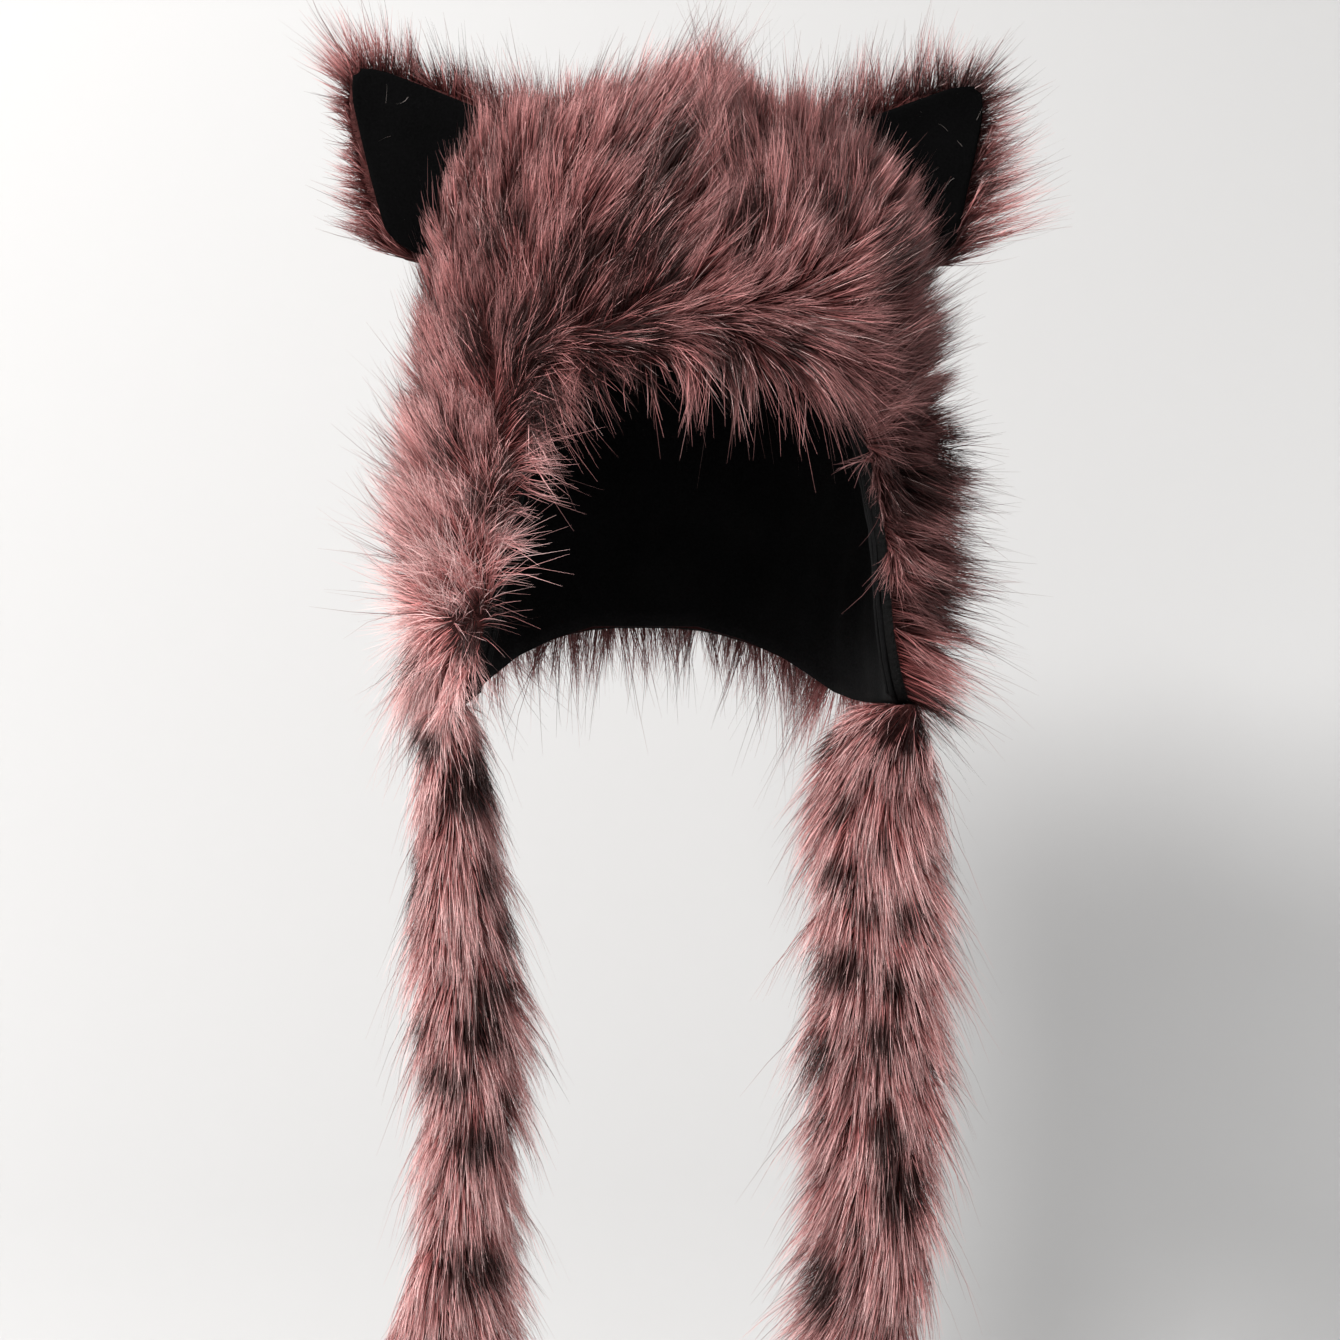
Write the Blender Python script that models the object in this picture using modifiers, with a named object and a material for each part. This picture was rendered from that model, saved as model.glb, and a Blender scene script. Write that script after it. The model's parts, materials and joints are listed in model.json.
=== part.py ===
"""A deep-pile fur hat with cat ears, side flaps and a fur tail hanging from each flap.

Metres, +Z up, with the face opening towards -Y. The origin is the inside top of the crown, where the
wearer's head bears up into the hat. Crown, flaps and nape are one wall that runs round the head: a black
lining inside and a fur pelt outside. The fur stands out from its backing as locks, each drawn up from one
face of the backing and leaning the way the pile lies. The ears sit on the corners of the crown, each a fur
shell with a black panel in front, and the tails hang from the points of the flaps.
"""

import math

import bmesh
import bpy
import numpy as np
from mathutils import Matrix, Vector, noise

# Sizes of the wall where lining and pelt meet
CROWN_WIDTH = 0.228
CROWN_DEPTH = 0.198
CROWN_HEIGHT = 0.130
FLAP_DROP = 0.160
NAPE_DROP = 0.120
SQUARENESS = 2.2

# Thicknesses, and the gap that neighbouring pieces keep
LINING_WALL = 0.002
PELT_WALL = 0.008
LAYER_GAP = 0.0005
SEAT_GAP = 0.0003

# Fur of the crown: how far a lock rises from the pelt and how far it leans along the pile. Pile leans up
# above the parting level and down below it, and stands straight out on the share of the flaps over the tails
CROWN_LOCK_RISE = 0.013
CROWN_LOCK_LEAN = 0.010
PARTING_LEVEL = 0.90
SEAT_SHARE = 0.20
LOCK_VARIATION = 0.45
LOCK_GRAIN = 0.011

# Ears. Each grows from the side of the wall at a level of the crown, set in from it and leaning out
EAR_WIDTH = 0.098
EAR_HEIGHT = 0.086
EAR_CUP = 0.012
EAR_LEVEL = 0.35
EAR_INSET = 0.005
EAR_LEAN = 41.0
EAR_ROOT = 0.030
EAR_TIP_WIDTH = 0.012
EAR_BORDER = 0.008
EAR_PELT_WALL = 0.007
EAR_PANEL_WALL = 0.0015
EAR_LOCK_RISE = 0.011
EAR_LOCK_LEAN = 0.009
EAR_CLEARANCE = 0.003

# Tails, without their locks. Their roots lie under the hem at a turn from the front, in degrees
TAIL_LENGTH = 0.350
TAIL_WIDTH = 0.048
TAIL_THICKNESS = 0.024
TAIL_ROOT_WIDTH = 0.070
TAIL_ROOT_THICKNESS = 0.018
TAIL_ROOT_TURN = 86.0
TAIL_LOCK_RISE = 0.011
TAIL_LOCK_LEAN = 0.013

# Facings: the strips of cloth along the front edges of the flaps, from turn to turn in degrees
FACING_WIDTH = 0.019
FACING_WALL = 0.001
FACING_GAP = 0.0008
FACING_INSET = 0.0015
FACING_START = 31.0
FACING_END = 67.0

# Fineness of the meshes, and how much closer the wall's rows lie at the top
WALL_ROWS = 14
ROW_SPREAD = 1.3
TAIL_ROWS = 24
TAIL_SIDES = 14
EAR_ROWS = 9
EAR_COLUMNS = 8
FACING_COLUMNS = 12

# Sections of the wall: level 0 is the top of the crown, 1 the brim and 2 the points of the flaps
WALL_SECTIONS = np.array(
    [
        # level, share of crown width, share of crown depth
        (0.00, 0.27, 0.15),
        (0.04, 0.54, 0.34),
        (0.10, 0.71, 0.51),
        (0.25, 0.88, 0.74),
        (0.41, 0.95, 0.87),
        (0.68, 0.985, 0.96),
        (1.00, 1.00, 1.00),
        (1.20, 1.03, 1.00),
        (1.50, 1.045, 0.97),
        (1.80, 1.00, 0.91),
        (2.00, 1.00, 0.91),
    ]
)

# The hem, from the middle of the brim round one side to the nape
HEM = np.array(
    [
        # turn from the front in degrees, share of flap drop, share of nape drop
        (0, 0.00, 0.00),
        (9, 0.00, 0.00),
        (18, 0.01, 0.00),
        (26, 0.02, 0.00),
        (32, 0.06, 0.00),
        (37, 0.15, 0.00),
        (42, 0.32, 0.00),
        (47, 0.52, 0.00),
        (52, 0.71, 0.00),
        (58, 0.87, 0.00),
        (64, 0.97, 0.00),
        (71, 1.00, 0.00),
        (80, 1.00, 0.00),
        (89, 1.00, 0.00),
        (98, 1.00, 0.00),
        (107, 1.00, 0.00),
        (116, 0.99, 0.00),
        (125, 0.80, 0.22),
        (134, 0.50, 0.55),
        (144, 0.22, 0.84),
        (156, 0.05, 0.99),
        (168, 0.00, 1.00),
        (180, 0.00, 1.00),
    ]
)

# Each tail, from its root down. Aside is a share of the tail's length towards +X, twist is in degrees
# from facing the front, and girth is a share of the tail's own width and thickness
TAIL_LEFT = np.array(
    [
        # drop, aside, forward, twist, girth
        (0.00, 0.003, 0.00, 88, 1.00),
        (0.05, 0.007, 0.00, 84, 0.96),
        (0.14, 0.014, 0.00, 70, 0.93),
        (0.28, 0.020, 0.00, 52, 0.94),
        (0.42, 0.031, 0.01, 36, 0.98),
        (0.49, 0.037, 0.01, 46, 0.97),
        (0.64, 0.033, 0.02, 64, 0.95),
        (0.71, 0.027, 0.02, 54, 0.96),
        (0.78, 0.018, 0.03, 44, 0.99),
        (0.85, 0.003, 0.03, 28, 1.04),
        (0.91, -0.014, 0.04, 18, 1.06),
        (0.97, -0.026, 0.04, 14, 0.78),
        (1.00, -0.031, 0.04, 12, 0.34),
    ]
)
TAIL_RIGHT = np.array(
    [
        # drop, aside, forward, twist, girth
        (0.00, -0.009, 0.00, -88, 1.00),
        (0.05, -0.025, 0.00, -70, 1.00),
        (0.14, -0.037, 0.00, -34, 1.02),
        (0.21, -0.034, 0.00, -14, 1.06),
        (0.35, -0.028, 0.01, -6, 1.08),
        (0.45, -0.033, 0.01, 0, 1.10),
        (0.56, -0.034, 0.02, -8, 1.06),
        (0.64, -0.044, 0.02, -16, 1.03),
        (0.78, -0.048, 0.03, -24, 1.00),
        (0.85, -0.057, 0.03, -28, 0.97),
        (0.91, -0.073, 0.04, -28, 0.95),
        (0.97, -0.085, 0.04, -26, 0.74),
        (1.00, -0.091, 0.04, -26, 0.34),
    ]
)

# Colours and roughness of fur and cloth
FUR_ROSE = (0.30, 0.115, 0.115, 1.0)
FUR_PINK = (0.40, 0.19, 0.19, 1.0)
FUR_ROUGHNESS = 0.6
CLOTH_BLACK = (0.006, 0.006, 0.007, 1.0)
CLOTH_ROUGHNESS = 0.9


def clear_scene():
    for old in list(bpy.data.objects):
        bpy.data.objects.remove(old)


def new_collection(name, shown=True):
    collection = bpy.data.collections.new(name)
    collection.hide_render = not shown
    bpy.context.scene.collection.children.link(collection)
    return collection


def new_material(name, colour, roughness):
    material = bpy.data.materials.new(name)
    material.use_nodes = True
    shader = material.node_tree.nodes["Principled BSDF"]
    shader.inputs["Base Color"].default_value = colour
    shader.inputs["Roughness"].default_value = roughness
    shader.inputs["Metallic"].default_value = 0.0
    return material


def new_object(name, mesh, collection, material=None):
    made = bpy.data.objects.new(name, mesh)
    if material:
        mesh.materials.clear()
        mesh.materials.append(material)
    collection.objects.link(made)
    return made


def mesh_of_rings(name, rings, closed_round=True, first_cap=False, last_cap=False):
    """A surface lofted through rings of points, all with the same number of points."""
    shape = bmesh.new()
    rows = [[shape.verts.new(point) for point in ring] for ring in rings]
    count = len(rows[0])
    sides = count if closed_round else count - 1
    for upper, lower in zip(rows, rows[1:]):
        for k in range(sides):
            after = (k + 1) % count
            shape.faces.new((upper[k], lower[k], lower[after], upper[after]))
    if first_cap:
        shape.faces.new(rows[0])
    if last_cap:
        shape.faces.new(list(reversed(rows[-1])))
    shape.normal_update()
    mesh = bpy.data.meshes.new(name)
    shape.to_mesh(mesh)
    shape.free()
    return mesh


def face_outwards(mesh):
    """Turns the faces of an open surface away from the middle of the hat."""
    shape = bmesh.new()
    shape.from_mesh(mesh)
    bmesh.ops.recalc_face_normals(shape, faces=shape.faces)
    if sum(face.normal.dot(face.calc_center_median()) for face in shape.faces) < 0:
        bmesh.ops.reverse_faces(shape, faces=shape.faces)
    shape.to_mesh(mesh)
    shape.free()


def evaluated_copy(source):
    """The mesh of an object with its modifiers applied."""
    depsgraph = bpy.context.evaluated_depsgraph_get()
    return bpy.data.meshes.new_from_object(source.evaluated_get(depsgraph))


def level_height(level):
    """Height of a level of the wall: 0 is the top of the crown, 1 the brim, 2 the points of the flaps."""
    above_brim = min(level, 1.0) * (CROWN_HEIGHT + LINING_WALL)
    below_brim = max(level - 1.0, 0.0) * FLAP_DROP
    return LINING_WALL - above_brim - below_brim


def rounded_power(value, exponent):
    return math.copysign(abs(value) ** exponent, value)


def wall_point(turn, height):
    """A point of the wall at a turn from the front, in degrees, and a height."""
    heights = np.array([level_height(level) for level in WALL_SECTIONS[:, 0]])
    half_width = np.interp(-height, -heights, WALL_SECTIONS[:, 1]) * CROWN_WIDTH / 2
    half_depth = np.interp(-height, -heights, WALL_SECTIONS[:, 2]) * CROWN_DEPTH / 2
    angle = math.radians(turn)
    across = rounded_power(math.sin(angle), 2 / SQUARENESS)
    along = rounded_power(math.cos(angle), 2 / SQUARENESS)
    return Vector((half_width * across, -half_depth * along, height))


def hem_height(turn):
    """Height of the hem at a turn from the front, the same on both sides."""
    side_turn = min(turn, 360 - turn)
    flap_share = np.interp(side_turn, HEM[:, 0], HEM[:, 1])
    nape_share = np.interp(side_turn, HEM[:, 0], HEM[:, 2])
    return level_height(1.0) - FLAP_DROP * flap_share - NAPE_DROP * nape_share


def wall_turns():
    """Turns of the wall's columns all the way round, closer together at the front edge of the flaps."""
    one_side = list(HEM[:, 0])
    return one_side + [360 - turn for turn in reversed(one_side[1:-1])]


def wall_mesh(name):
    """The open surface where lining and pelt meet: crown, flaps and nape down to the hem."""
    top = level_height(0.0)
    rings = []
    for row in range(WALL_ROWS + 1):
        share = (row / WALL_ROWS) ** ROW_SPREAD
        ring = [wall_point(turn, top + (hem_height(turn) - top) * share) for turn in wall_turns()]
        rings.append(ring)
    mesh = mesh_of_rings(name, rings)
    shape = bmesh.new()
    shape.from_mesh(mesh)
    shape.verts.ensure_lookup_table()
    count = len(rings[0])
    half = count // 2
    shape.faces.new((shape.verts[0], shape.verts[1], shape.verts[count - 1]))
    for k in range(1, half - 1):
        strip = (k, k + 1, count - k - 1, count - k)
        shape.faces.new([shape.verts[i] for i in strip])
    shape.faces.new((shape.verts[half], shape.verts[half + 1], shape.verts[half - 1]))
    shape.to_mesh(mesh)
    shape.free()
    face_outwards(mesh)
    return mesh


def facing_mesh(name, side):
    """A strip along the front edge of a flap: the hem's line and that line set back into the flap."""
    turns = np.linspace(FACING_START, FACING_END, FACING_COLUMNS + 1)
    across = np.radians(turns) * CROWN_WIDTH / 2
    heights = np.array([hem_height(turn) for turn in turns]) + FACING_INSET
    run, drop = np.gradient(across), np.gradient(heights)
    length = np.hypot(run, drop)
    rings = []
    for share in (0.0, 0.5, 1.0):
        set_back = across - drop / length * FACING_WIDTH * share
        raised = heights + run / length * FACING_WIDTH * share
        turned = np.degrees(set_back / (CROWN_WIDTH / 2)) * side
        rings.append([wall_point(turn, height) for turn, height in zip(turned, raised)])
    mesh = mesh_of_rings(name, rings, closed_round=False)
    face_outwards(mesh)
    return mesh


def displaced(made, distance):
    """Moves an object's surface out along its normals by a distance."""
    modifier = made.modifiers.new("out", "DISPLACE")
    modifier.direction = "NORMAL"
    modifier.mid_level = 0.0
    modifier.strength = distance


def thickened(made, thickness, outwards=True, marked=False):
    """Gives a surface its wall. Marked walls number their faces: 0 the outer side, 1 the inner, 2 the rim."""
    modifier = made.modifiers.new("wall", "SOLIDIFY")
    modifier.thickness = thickness
    modifier.offset = 1.0 if outwards else -1.0
    if marked:
        modifier.material_offset = 1
        modifier.material_offset_rim = 2


def along_surface(direction, normal):
    return direction - normal * direction.dot(normal)


def raise_locks(mesh, lock_at, numbers=(0,), clear=None):
    """Draws each face of the numbered sides up into a lock that leans along the pile.

    lock_at gives the lock's reach from the middle of its face. A lock that clear refuses is left flat.
    """
    shape = bmesh.new()
    shape.from_mesh(mesh)
    shape.normal_update()
    locks = []
    for face in shape.faces:
        if face.material_index not in numbers:
            continue
        centre = face.calc_center_median()
        vary = 1 + LOCK_VARIATION * noise.noise(centre / LOCK_GRAIN)
        tip = centre + lock_at(centre, face.normal) * vary
        if clear is None or clear([vert.co for vert in face.verts], tip):
            locks.append((face, tip))
    for face, tip in locks:
        poked = bmesh.ops.poke(shape, faces=[face])
        poked["verts"][0].co = tip
    for face in shape.faces:
        face.material_index = 0
    shape.to_mesh(mesh)
    shape.free()


def build_lining(collection):
    cloth = new_material("lining_cloth", CLOTH_BLACK, CLOTH_ROUGHNESS)
    lining = new_object("crown_lining", wall_mesh("crown_lining"), collection, cloth)
    lining.data.shade_smooth()
    thickened(lining, LINING_WALL, outwards=False)


def build_facing(side, word, collection):
    name = f"flap_facing_{word}"
    cloth = new_material(f"{name}_cloth", CLOTH_BLACK, CLOTH_ROUGHNESS)
    facing = new_object(name, facing_mesh(name, side), collection, cloth)
    facing.data.shade_smooth()
    displaced(facing, -LINING_WALL - FACING_GAP)
    thickened(facing, FACING_WALL, outwards=False)


def ear_frame(side):
    """Place and turn of an ear's root: side is -1 for left and +1 for right."""
    on_wall = wall_point(90 * side, level_height(EAR_LEVEL))
    place = Matrix.Translation((on_wall.x - side * EAR_INSET, 0, on_wall.z))
    return place @ Matrix.Rotation(math.radians(side * EAR_LEAN), 4, "Y")


def in_ear_room(local):
    """Whether a point, seen from an ear's root, lies in the room that the ear and its locks take."""
    locks = EAR_LOCK_RISE * (1 + LOCK_VARIATION) if local.z > -EAR_CLEARANCE else 0.0
    half = ear_half_width(local.z / EAR_HEIGHT) + EAR_BORDER + locks + EAR_CLEARANCE
    front = -EAR_CUP * (1 + 2 * EAR_BORDER / EAR_WIDTH) ** 2 - EAR_CLEARANCE
    back = EAR_PELT_WALL + locks + EAR_CLEARANCE
    above_root = -EAR_ROOT - EAR_CLEARANCE < local.z < EAR_HEIGHT
    return above_root and abs(local.x) < half and front < local.y < back


def clear_of_ears(corners, tip):
    """Whether a lock of the crown keeps out of both ears' room."""
    steps = (0.0, 0.25, 0.5, 0.75, 1.0)
    points = [corner.lerp(tip, step) for corner in corners for step in steps]
    frames = [ear_frame(side).inverted() for side in (-1, 1)]
    return not any(in_ear_room(to_ear @ point) for to_ear in frames for point in points)


def build_crown_fur(collection, cutters):
    """The pelt round crown, flaps and nape."""
    material = new_material("crown_pile", FUR_ROSE, FUR_ROUGHNESS)
    guide = new_object("pelt_guide", wall_mesh("pelt_guide"), cutters)
    for _ in range(3):
        guide.data.materials.append(material)
    displaced(guide, LAYER_GAP)
    thickened(guide, PELT_WALL, marked=True)
    mesh = evaluated_copy(guide)
    parting = level_height(PARTING_LEVEL)
    seat_level = level_height(2.0) + FLAP_DROP * SEAT_SHARE

    def lock_at(centre, normal):
        """Pile stands up on the crown and hangs down round the face, the flaps and the nape."""
        up = max(-1.0, min(1.0, (centre.z - parting) / (CROWN_HEIGHT / 3)))
        lean = 0.0 if centre.z < seat_level else CROWN_LOCK_LEAN
        return normal * CROWN_LOCK_RISE + along_surface(Vector((0, 0, up)), normal) * lean

    raise_locks(mesh, lock_at, clear=clear_of_ears)
    bpy.data.objects.remove(guide)
    new_object("crown_fur", mesh, collection, material)


def build_crown_cutter(cutters):
    """A closed volume that fills the pelt's smooth outside and its seat gap."""
    mesh = wall_mesh("crown_cutter")
    grown = new_object("crown_cutter_surface", mesh, cutters)
    displaced(grown, LAYER_GAP + PELT_WALL + SEAT_GAP)
    closed = evaluated_copy(grown)
    bpy.data.objects.remove(grown)
    shape = bmesh.new()
    shape.from_mesh(closed)
    rim = [edge for edge in shape.edges if edge.is_boundary]
    inside = shape.verts.new((0, 0, level_height(1.0)))
    for edge in rim:
        shape.faces.new((*edge.verts, inside))
    bmesh.ops.recalc_face_normals(shape, faces=shape.faces)
    shape.to_mesh(closed)
    shape.free()
    cutter = new_object("crown_cutter", closed, cutters)
    cutter.hide_render = True
    cutter.display_type = "WIRE"
    return cutter


def ear_half_width(share):
    """Half the width of an ear's panel at a share of its height, straight below the base."""
    if share <= 0:
        return EAR_WIDTH / 2
    return EAR_TIP_WIDTH / 2 + (EAR_WIDTH - EAR_TIP_WIDTH) / 2 * (1 - share**1.15)


def ear_mesh(name, border=0.0):
    """The cupped sheet of an ear. A border adds a column at either edge and a row past the tip."""
    rings = []
    for row in range(EAR_ROWS + (2 if border else 1)):
        share = min(row / EAR_ROWS, 1.0)
        up = -EAR_ROOT + (EAR_HEIGHT + EAR_ROOT) * share
        half = ear_half_width(up / EAR_HEIGHT)
        across = [half * (2 * k / EAR_COLUMNS - 1) for k in range(EAR_COLUMNS + 1)]
        if border:
            across = [across[0] - border, *across, across[-1] + border]
        past_tip = border if row > EAR_ROWS else 0.0
        rings.append([Vector((x, -EAR_CUP * (2 * x / EAR_WIDTH) ** 2, up + past_tip)) for x in across])
    return mesh_of_rings(name, rings, closed_round=False)


def cut_by(made, cutter):
    modifier = made.modifiers.new("seat", "BOOLEAN")
    modifier.operation = "DIFFERENCE"
    modifier.object = cutter


def build_ear(side, word, collection, cutters, cutter):
    """One ear: the fur shell behind and round it, and the black panel set into its front."""
    fur = new_material(f"ear_{word}_pile", FUR_ROSE, FUR_ROUGHNESS)
    cloth = new_material(f"ear_{word}_cloth", CLOTH_BLACK, CLOTH_ROUGHNESS)
    frame = ear_frame(side)
    guide = new_object(f"ear_{word}_guide", ear_mesh(f"ear_{word}_guide", EAR_BORDER), cutters)
    for _ in range(3):
        guide.data.materials.append(fur)
    thickened(guide, EAR_PELT_WALL, marked=True)
    mesh = evaluated_copy(guide)
    bpy.data.objects.remove(guide)

    def lock_at(centre, normal):
        pile = Vector((centre.x * 0.5, 0, EAR_WIDTH / 2)).normalized()
        return normal * EAR_LOCK_RISE + along_surface(pile, normal) * EAR_LOCK_LEAN

    def above_root(corners, tip):
        return min(corner.z for corner in corners) > 0

    raise_locks(mesh, lock_at, numbers=(0, 2), clear=above_root)
    shell = new_object(f"ear_{word}_fur", mesh, collection, fur)
    shell.matrix_world = frame
    cut_by(shell, cutter)
    panel = new_object(f"ear_{word}_inner", ear_mesh(f"ear_{word}_inner"), collection, cloth)
    panel.matrix_world = frame
    panel.data.shade_smooth()
    displaced(panel, -SEAT_GAP)
    thickened(panel, EAR_PANEL_WALL, outwards=False)
    cut_by(panel, cutter)


def tail_ring(table, side, drop):
    """One section of a tail: an oval that turns and swings as the tail hangs."""
    aside, forward, twist, girth = (np.interp(drop, table[:, 0], table[:, k]) for k in range(1, 5))
    rooted = max(0.0, 1 - drop * TAIL_LENGTH / TAIL_ROOT_WIDTH)
    half_width = (TAIL_ROOT_WIDTH * rooted + TAIL_WIDTH * (1 - rooted)) / 2 * girth
    half_thick = (TAIL_ROOT_THICKNESS * rooted + TAIL_THICKNESS * (1 - rooted)) / 2 * girth
    root = wall_point(TAIL_ROOT_TURN * side, level_height(2.0)) - Vector((0, 0, SEAT_GAP))
    centre = root + Vector((aside, -forward, -drop)) * TAIL_LENGTH
    turned = Matrix.Rotation(math.radians(twist), 3, "Z")
    ring = []
    for k in range(TAIL_SIDES):
        angle = 2 * math.pi * k / TAIL_SIDES
        ring.append(centre + turned @ Vector((half_width * math.cos(angle), half_thick * math.sin(angle), 0)))
    return ring


def build_tail(side, word, table, collection):
    material = new_material(f"tail_{word}_pile", FUR_PINK, FUR_ROUGHNESS)
    drops = [row / TAIL_ROWS for row in range(TAIL_ROWS + 1)]
    rings = [tail_ring(table, side, drop) for drop in drops]
    mesh = mesh_of_rings(f"tail_{word}", rings, first_cap=True, last_cap=True)
    shape = bmesh.new()
    shape.from_mesh(mesh)
    bmesh.ops.recalc_face_normals(shape, faces=shape.faces)
    for face in shape.faces:
        face.material_index = 0 if len(face.verts) == 4 else 1
    shape.to_mesh(mesh)
    shape.free()

    def lock_at(centre, normal):
        return normal * TAIL_LOCK_RISE + along_surface(Vector((0, 0, -1)), normal) * TAIL_LOCK_LEAN

    def below_seat(corners, tip):
        return tip.z < level_height(2.0) - LAYER_GAP

    raise_locks(mesh, lock_at, clear=below_seat)
    new_object(f"tail_{word}", mesh, collection, material)


def main():
    clear_scene()
    hat = new_collection("cat_ear_hat")
    cutters = new_collection("cutters", shown=False)
    build_lining(hat)
    build_crown_fur(hat, cutters)
    cutter = build_crown_cutter(cutters)
    for side, word, tail_table in ((-1, "left", TAIL_LEFT), (1, "right", TAIL_RIGHT)):
        build_facing(side, word, hat)
        build_ear(side, word, hat, cutters, cutter)
        build_tail(side, word, tail_table, hat)


main()
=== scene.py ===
# %% [markdown]
# # A cat ear hat in deep faux fur
#
# This lesson dresses a plain model of a hat in what makes it a hat: dusty rose faux fur with dark spots,
# black cloth inside, and felt panels in the ears. The plain model gives every place and size, so nothing
# here is guessed twice. Fur is by far the largest part of the work. It could be a bumpy skin or a hair
# system, but it is real geometry here, strand by strand, because that alone gives deep pile its soft edge
# against the light.

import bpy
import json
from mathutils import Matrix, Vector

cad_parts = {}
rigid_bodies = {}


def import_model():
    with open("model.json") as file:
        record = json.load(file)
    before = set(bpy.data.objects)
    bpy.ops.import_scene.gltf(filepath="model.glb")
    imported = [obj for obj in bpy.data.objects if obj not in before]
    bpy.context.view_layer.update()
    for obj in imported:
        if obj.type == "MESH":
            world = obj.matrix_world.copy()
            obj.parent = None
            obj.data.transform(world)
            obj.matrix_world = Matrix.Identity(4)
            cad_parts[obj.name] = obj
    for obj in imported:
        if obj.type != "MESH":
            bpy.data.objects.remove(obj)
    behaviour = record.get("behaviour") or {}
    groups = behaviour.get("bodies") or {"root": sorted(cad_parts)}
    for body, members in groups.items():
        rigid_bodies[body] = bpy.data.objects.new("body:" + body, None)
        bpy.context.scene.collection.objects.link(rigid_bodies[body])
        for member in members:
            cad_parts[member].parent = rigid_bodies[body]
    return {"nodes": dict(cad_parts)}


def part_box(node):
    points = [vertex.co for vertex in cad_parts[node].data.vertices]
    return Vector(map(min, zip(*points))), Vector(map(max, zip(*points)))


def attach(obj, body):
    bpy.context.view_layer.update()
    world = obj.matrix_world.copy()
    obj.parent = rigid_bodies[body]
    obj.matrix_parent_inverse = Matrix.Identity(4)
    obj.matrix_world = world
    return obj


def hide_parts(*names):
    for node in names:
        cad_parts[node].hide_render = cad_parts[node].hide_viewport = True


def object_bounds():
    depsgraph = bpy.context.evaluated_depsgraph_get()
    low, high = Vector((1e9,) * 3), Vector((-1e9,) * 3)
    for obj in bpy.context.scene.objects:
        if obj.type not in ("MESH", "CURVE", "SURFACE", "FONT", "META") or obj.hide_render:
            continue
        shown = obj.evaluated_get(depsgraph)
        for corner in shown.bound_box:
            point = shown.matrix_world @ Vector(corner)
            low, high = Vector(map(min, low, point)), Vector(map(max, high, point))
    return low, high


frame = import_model()
cad_box = [list(corner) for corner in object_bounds()]

import json
import math

import bmesh
import bpy
import numpy as np
from mathutils import Matrix, Vector

print("nodes:", ", ".join(sorted(frame["nodes"])))
print("size of the plain model in mm:", [round(1000 * (b - a)) for a, b in zip(*cad_box)])

# %% [markdown]
# ## Where the camera stands
#
# The hat faces -Y and is seen from a little to its left, level with the points of its flaps. Fur has no
# edges to measure from, so its partings and spots are charted as the camera sees them: so far across and so
# high, in millimetres on the plane through the top of the head. The function `seen` takes any point to that
# chart, with the perspective of the lens, and that one function ties every chart below to the hat.

# %% The camera
LENS = 85.0
SENSOR = 36.0
FRAME_WIDTH = 0.670
AZIMUTH = math.radians(-9.0)
AIM_ACROSS = -0.001
AIM_HEIGHT = -0.273

INTO = np.array([-math.sin(AZIMUTH), math.cos(AZIMUTH), 0.0])
ACROSS = np.array([math.cos(AZIMUTH), math.sin(AZIMUTH), 0.0])
UP = np.array([0.0, 0.0, 1.0])
DISTANCE = FRAME_WIDTH * LENS / SENSOR


def seen(points):
    """Where points appear on the plane through the origin: metres across and metres high."""
    nearer = DISTANCE / (DISTANCE + points @ INTO)
    across = AIM_ACROSS + (points @ ACROSS - AIM_ACROSS) * nearer
    height = AIM_HEIGHT + (points[:, 2] - AIM_HEIGHT) * nearer
    return across, height


def add_camera():
    camera = bpy.data.objects.new("camera", bpy.data.cameras.new("camera"))
    camera.data.lens = LENS
    camera.data.sensor_width = SENSOR
    aim = AIM_ACROSS * ACROSS + AIM_HEIGHT * UP
    camera.location = aim - DISTANCE * INTO
    camera.rotation_euler = (math.radians(90), 0, AZIMUTH)
    bpy.context.scene.collection.objects.link(camera)
    bpy.context.scene.camera = camera


add_camera()
print("camera distance in metres:", round(DISTANCE, 3))

# %% [markdown]
# ## Light and backdrop
#
# A soft lamp from the upper left models the fur, a weak one from the right keeps the shadows open, and one
# from behind lights the tips along the edges. Two low lamps wash the wall and the floor. Floor and wall are
# one sheet of paper with a round fillet between them, as in a studio, so that there is no line behind the
# hat.

# %% Backdrop and lamps
FLOOR = -0.95
WALL = 0.58
WALL_TOP = 2.6
PAPER_REACH = 4.0
PAPER_GREY = 0.57
FILLET = 0.32
FILLET_STEPS = 12
HAT_MIDDLE = (0.0, 0.0, -0.2)
WHITE = (1.0, 1.0, 1.0)
WARM_WHITE = (1.0, 0.985, 0.97)
LAMPS = {
    # place, what it is turned to, size in metres, watts, colour
    "key": ((-1.22, -1.42, 1.04), HAT_MIDDLE, 0.42, 80.0, WARM_WHITE),
    "wall_wash": ((1.25, 0.10, -0.55), (0.35, 0.58, -0.50), 0.7, 4.4, WHITE),
    "floor_wash": ((-1.05, 0.05, -0.75), (-0.45, 0.58, -0.62), 0.6, 2.6, WHITE),
    "fill": ((1.6, -1.3, 0.1), HAT_MIDDLE, 1.4, 3.0, WHITE),
    "rim": ((-0.75, 0.35, 0.95), HAT_MIDDLE, 0.5, 4.0, WHITE),
}
SKY = (1.0, 0.985, 0.975)
SKY_STRENGTH = 0.30


def plain_material(name, colour, roughness=0.8):
    material = bpy.data.materials.new(name)
    material.use_nodes = True
    shader = material.node_tree.nodes["Principled BSDF"]
    shader.inputs["Base Color"].default_value = (*colour, 1.0)
    shader.inputs["Roughness"].default_value = roughness
    return material


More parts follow.
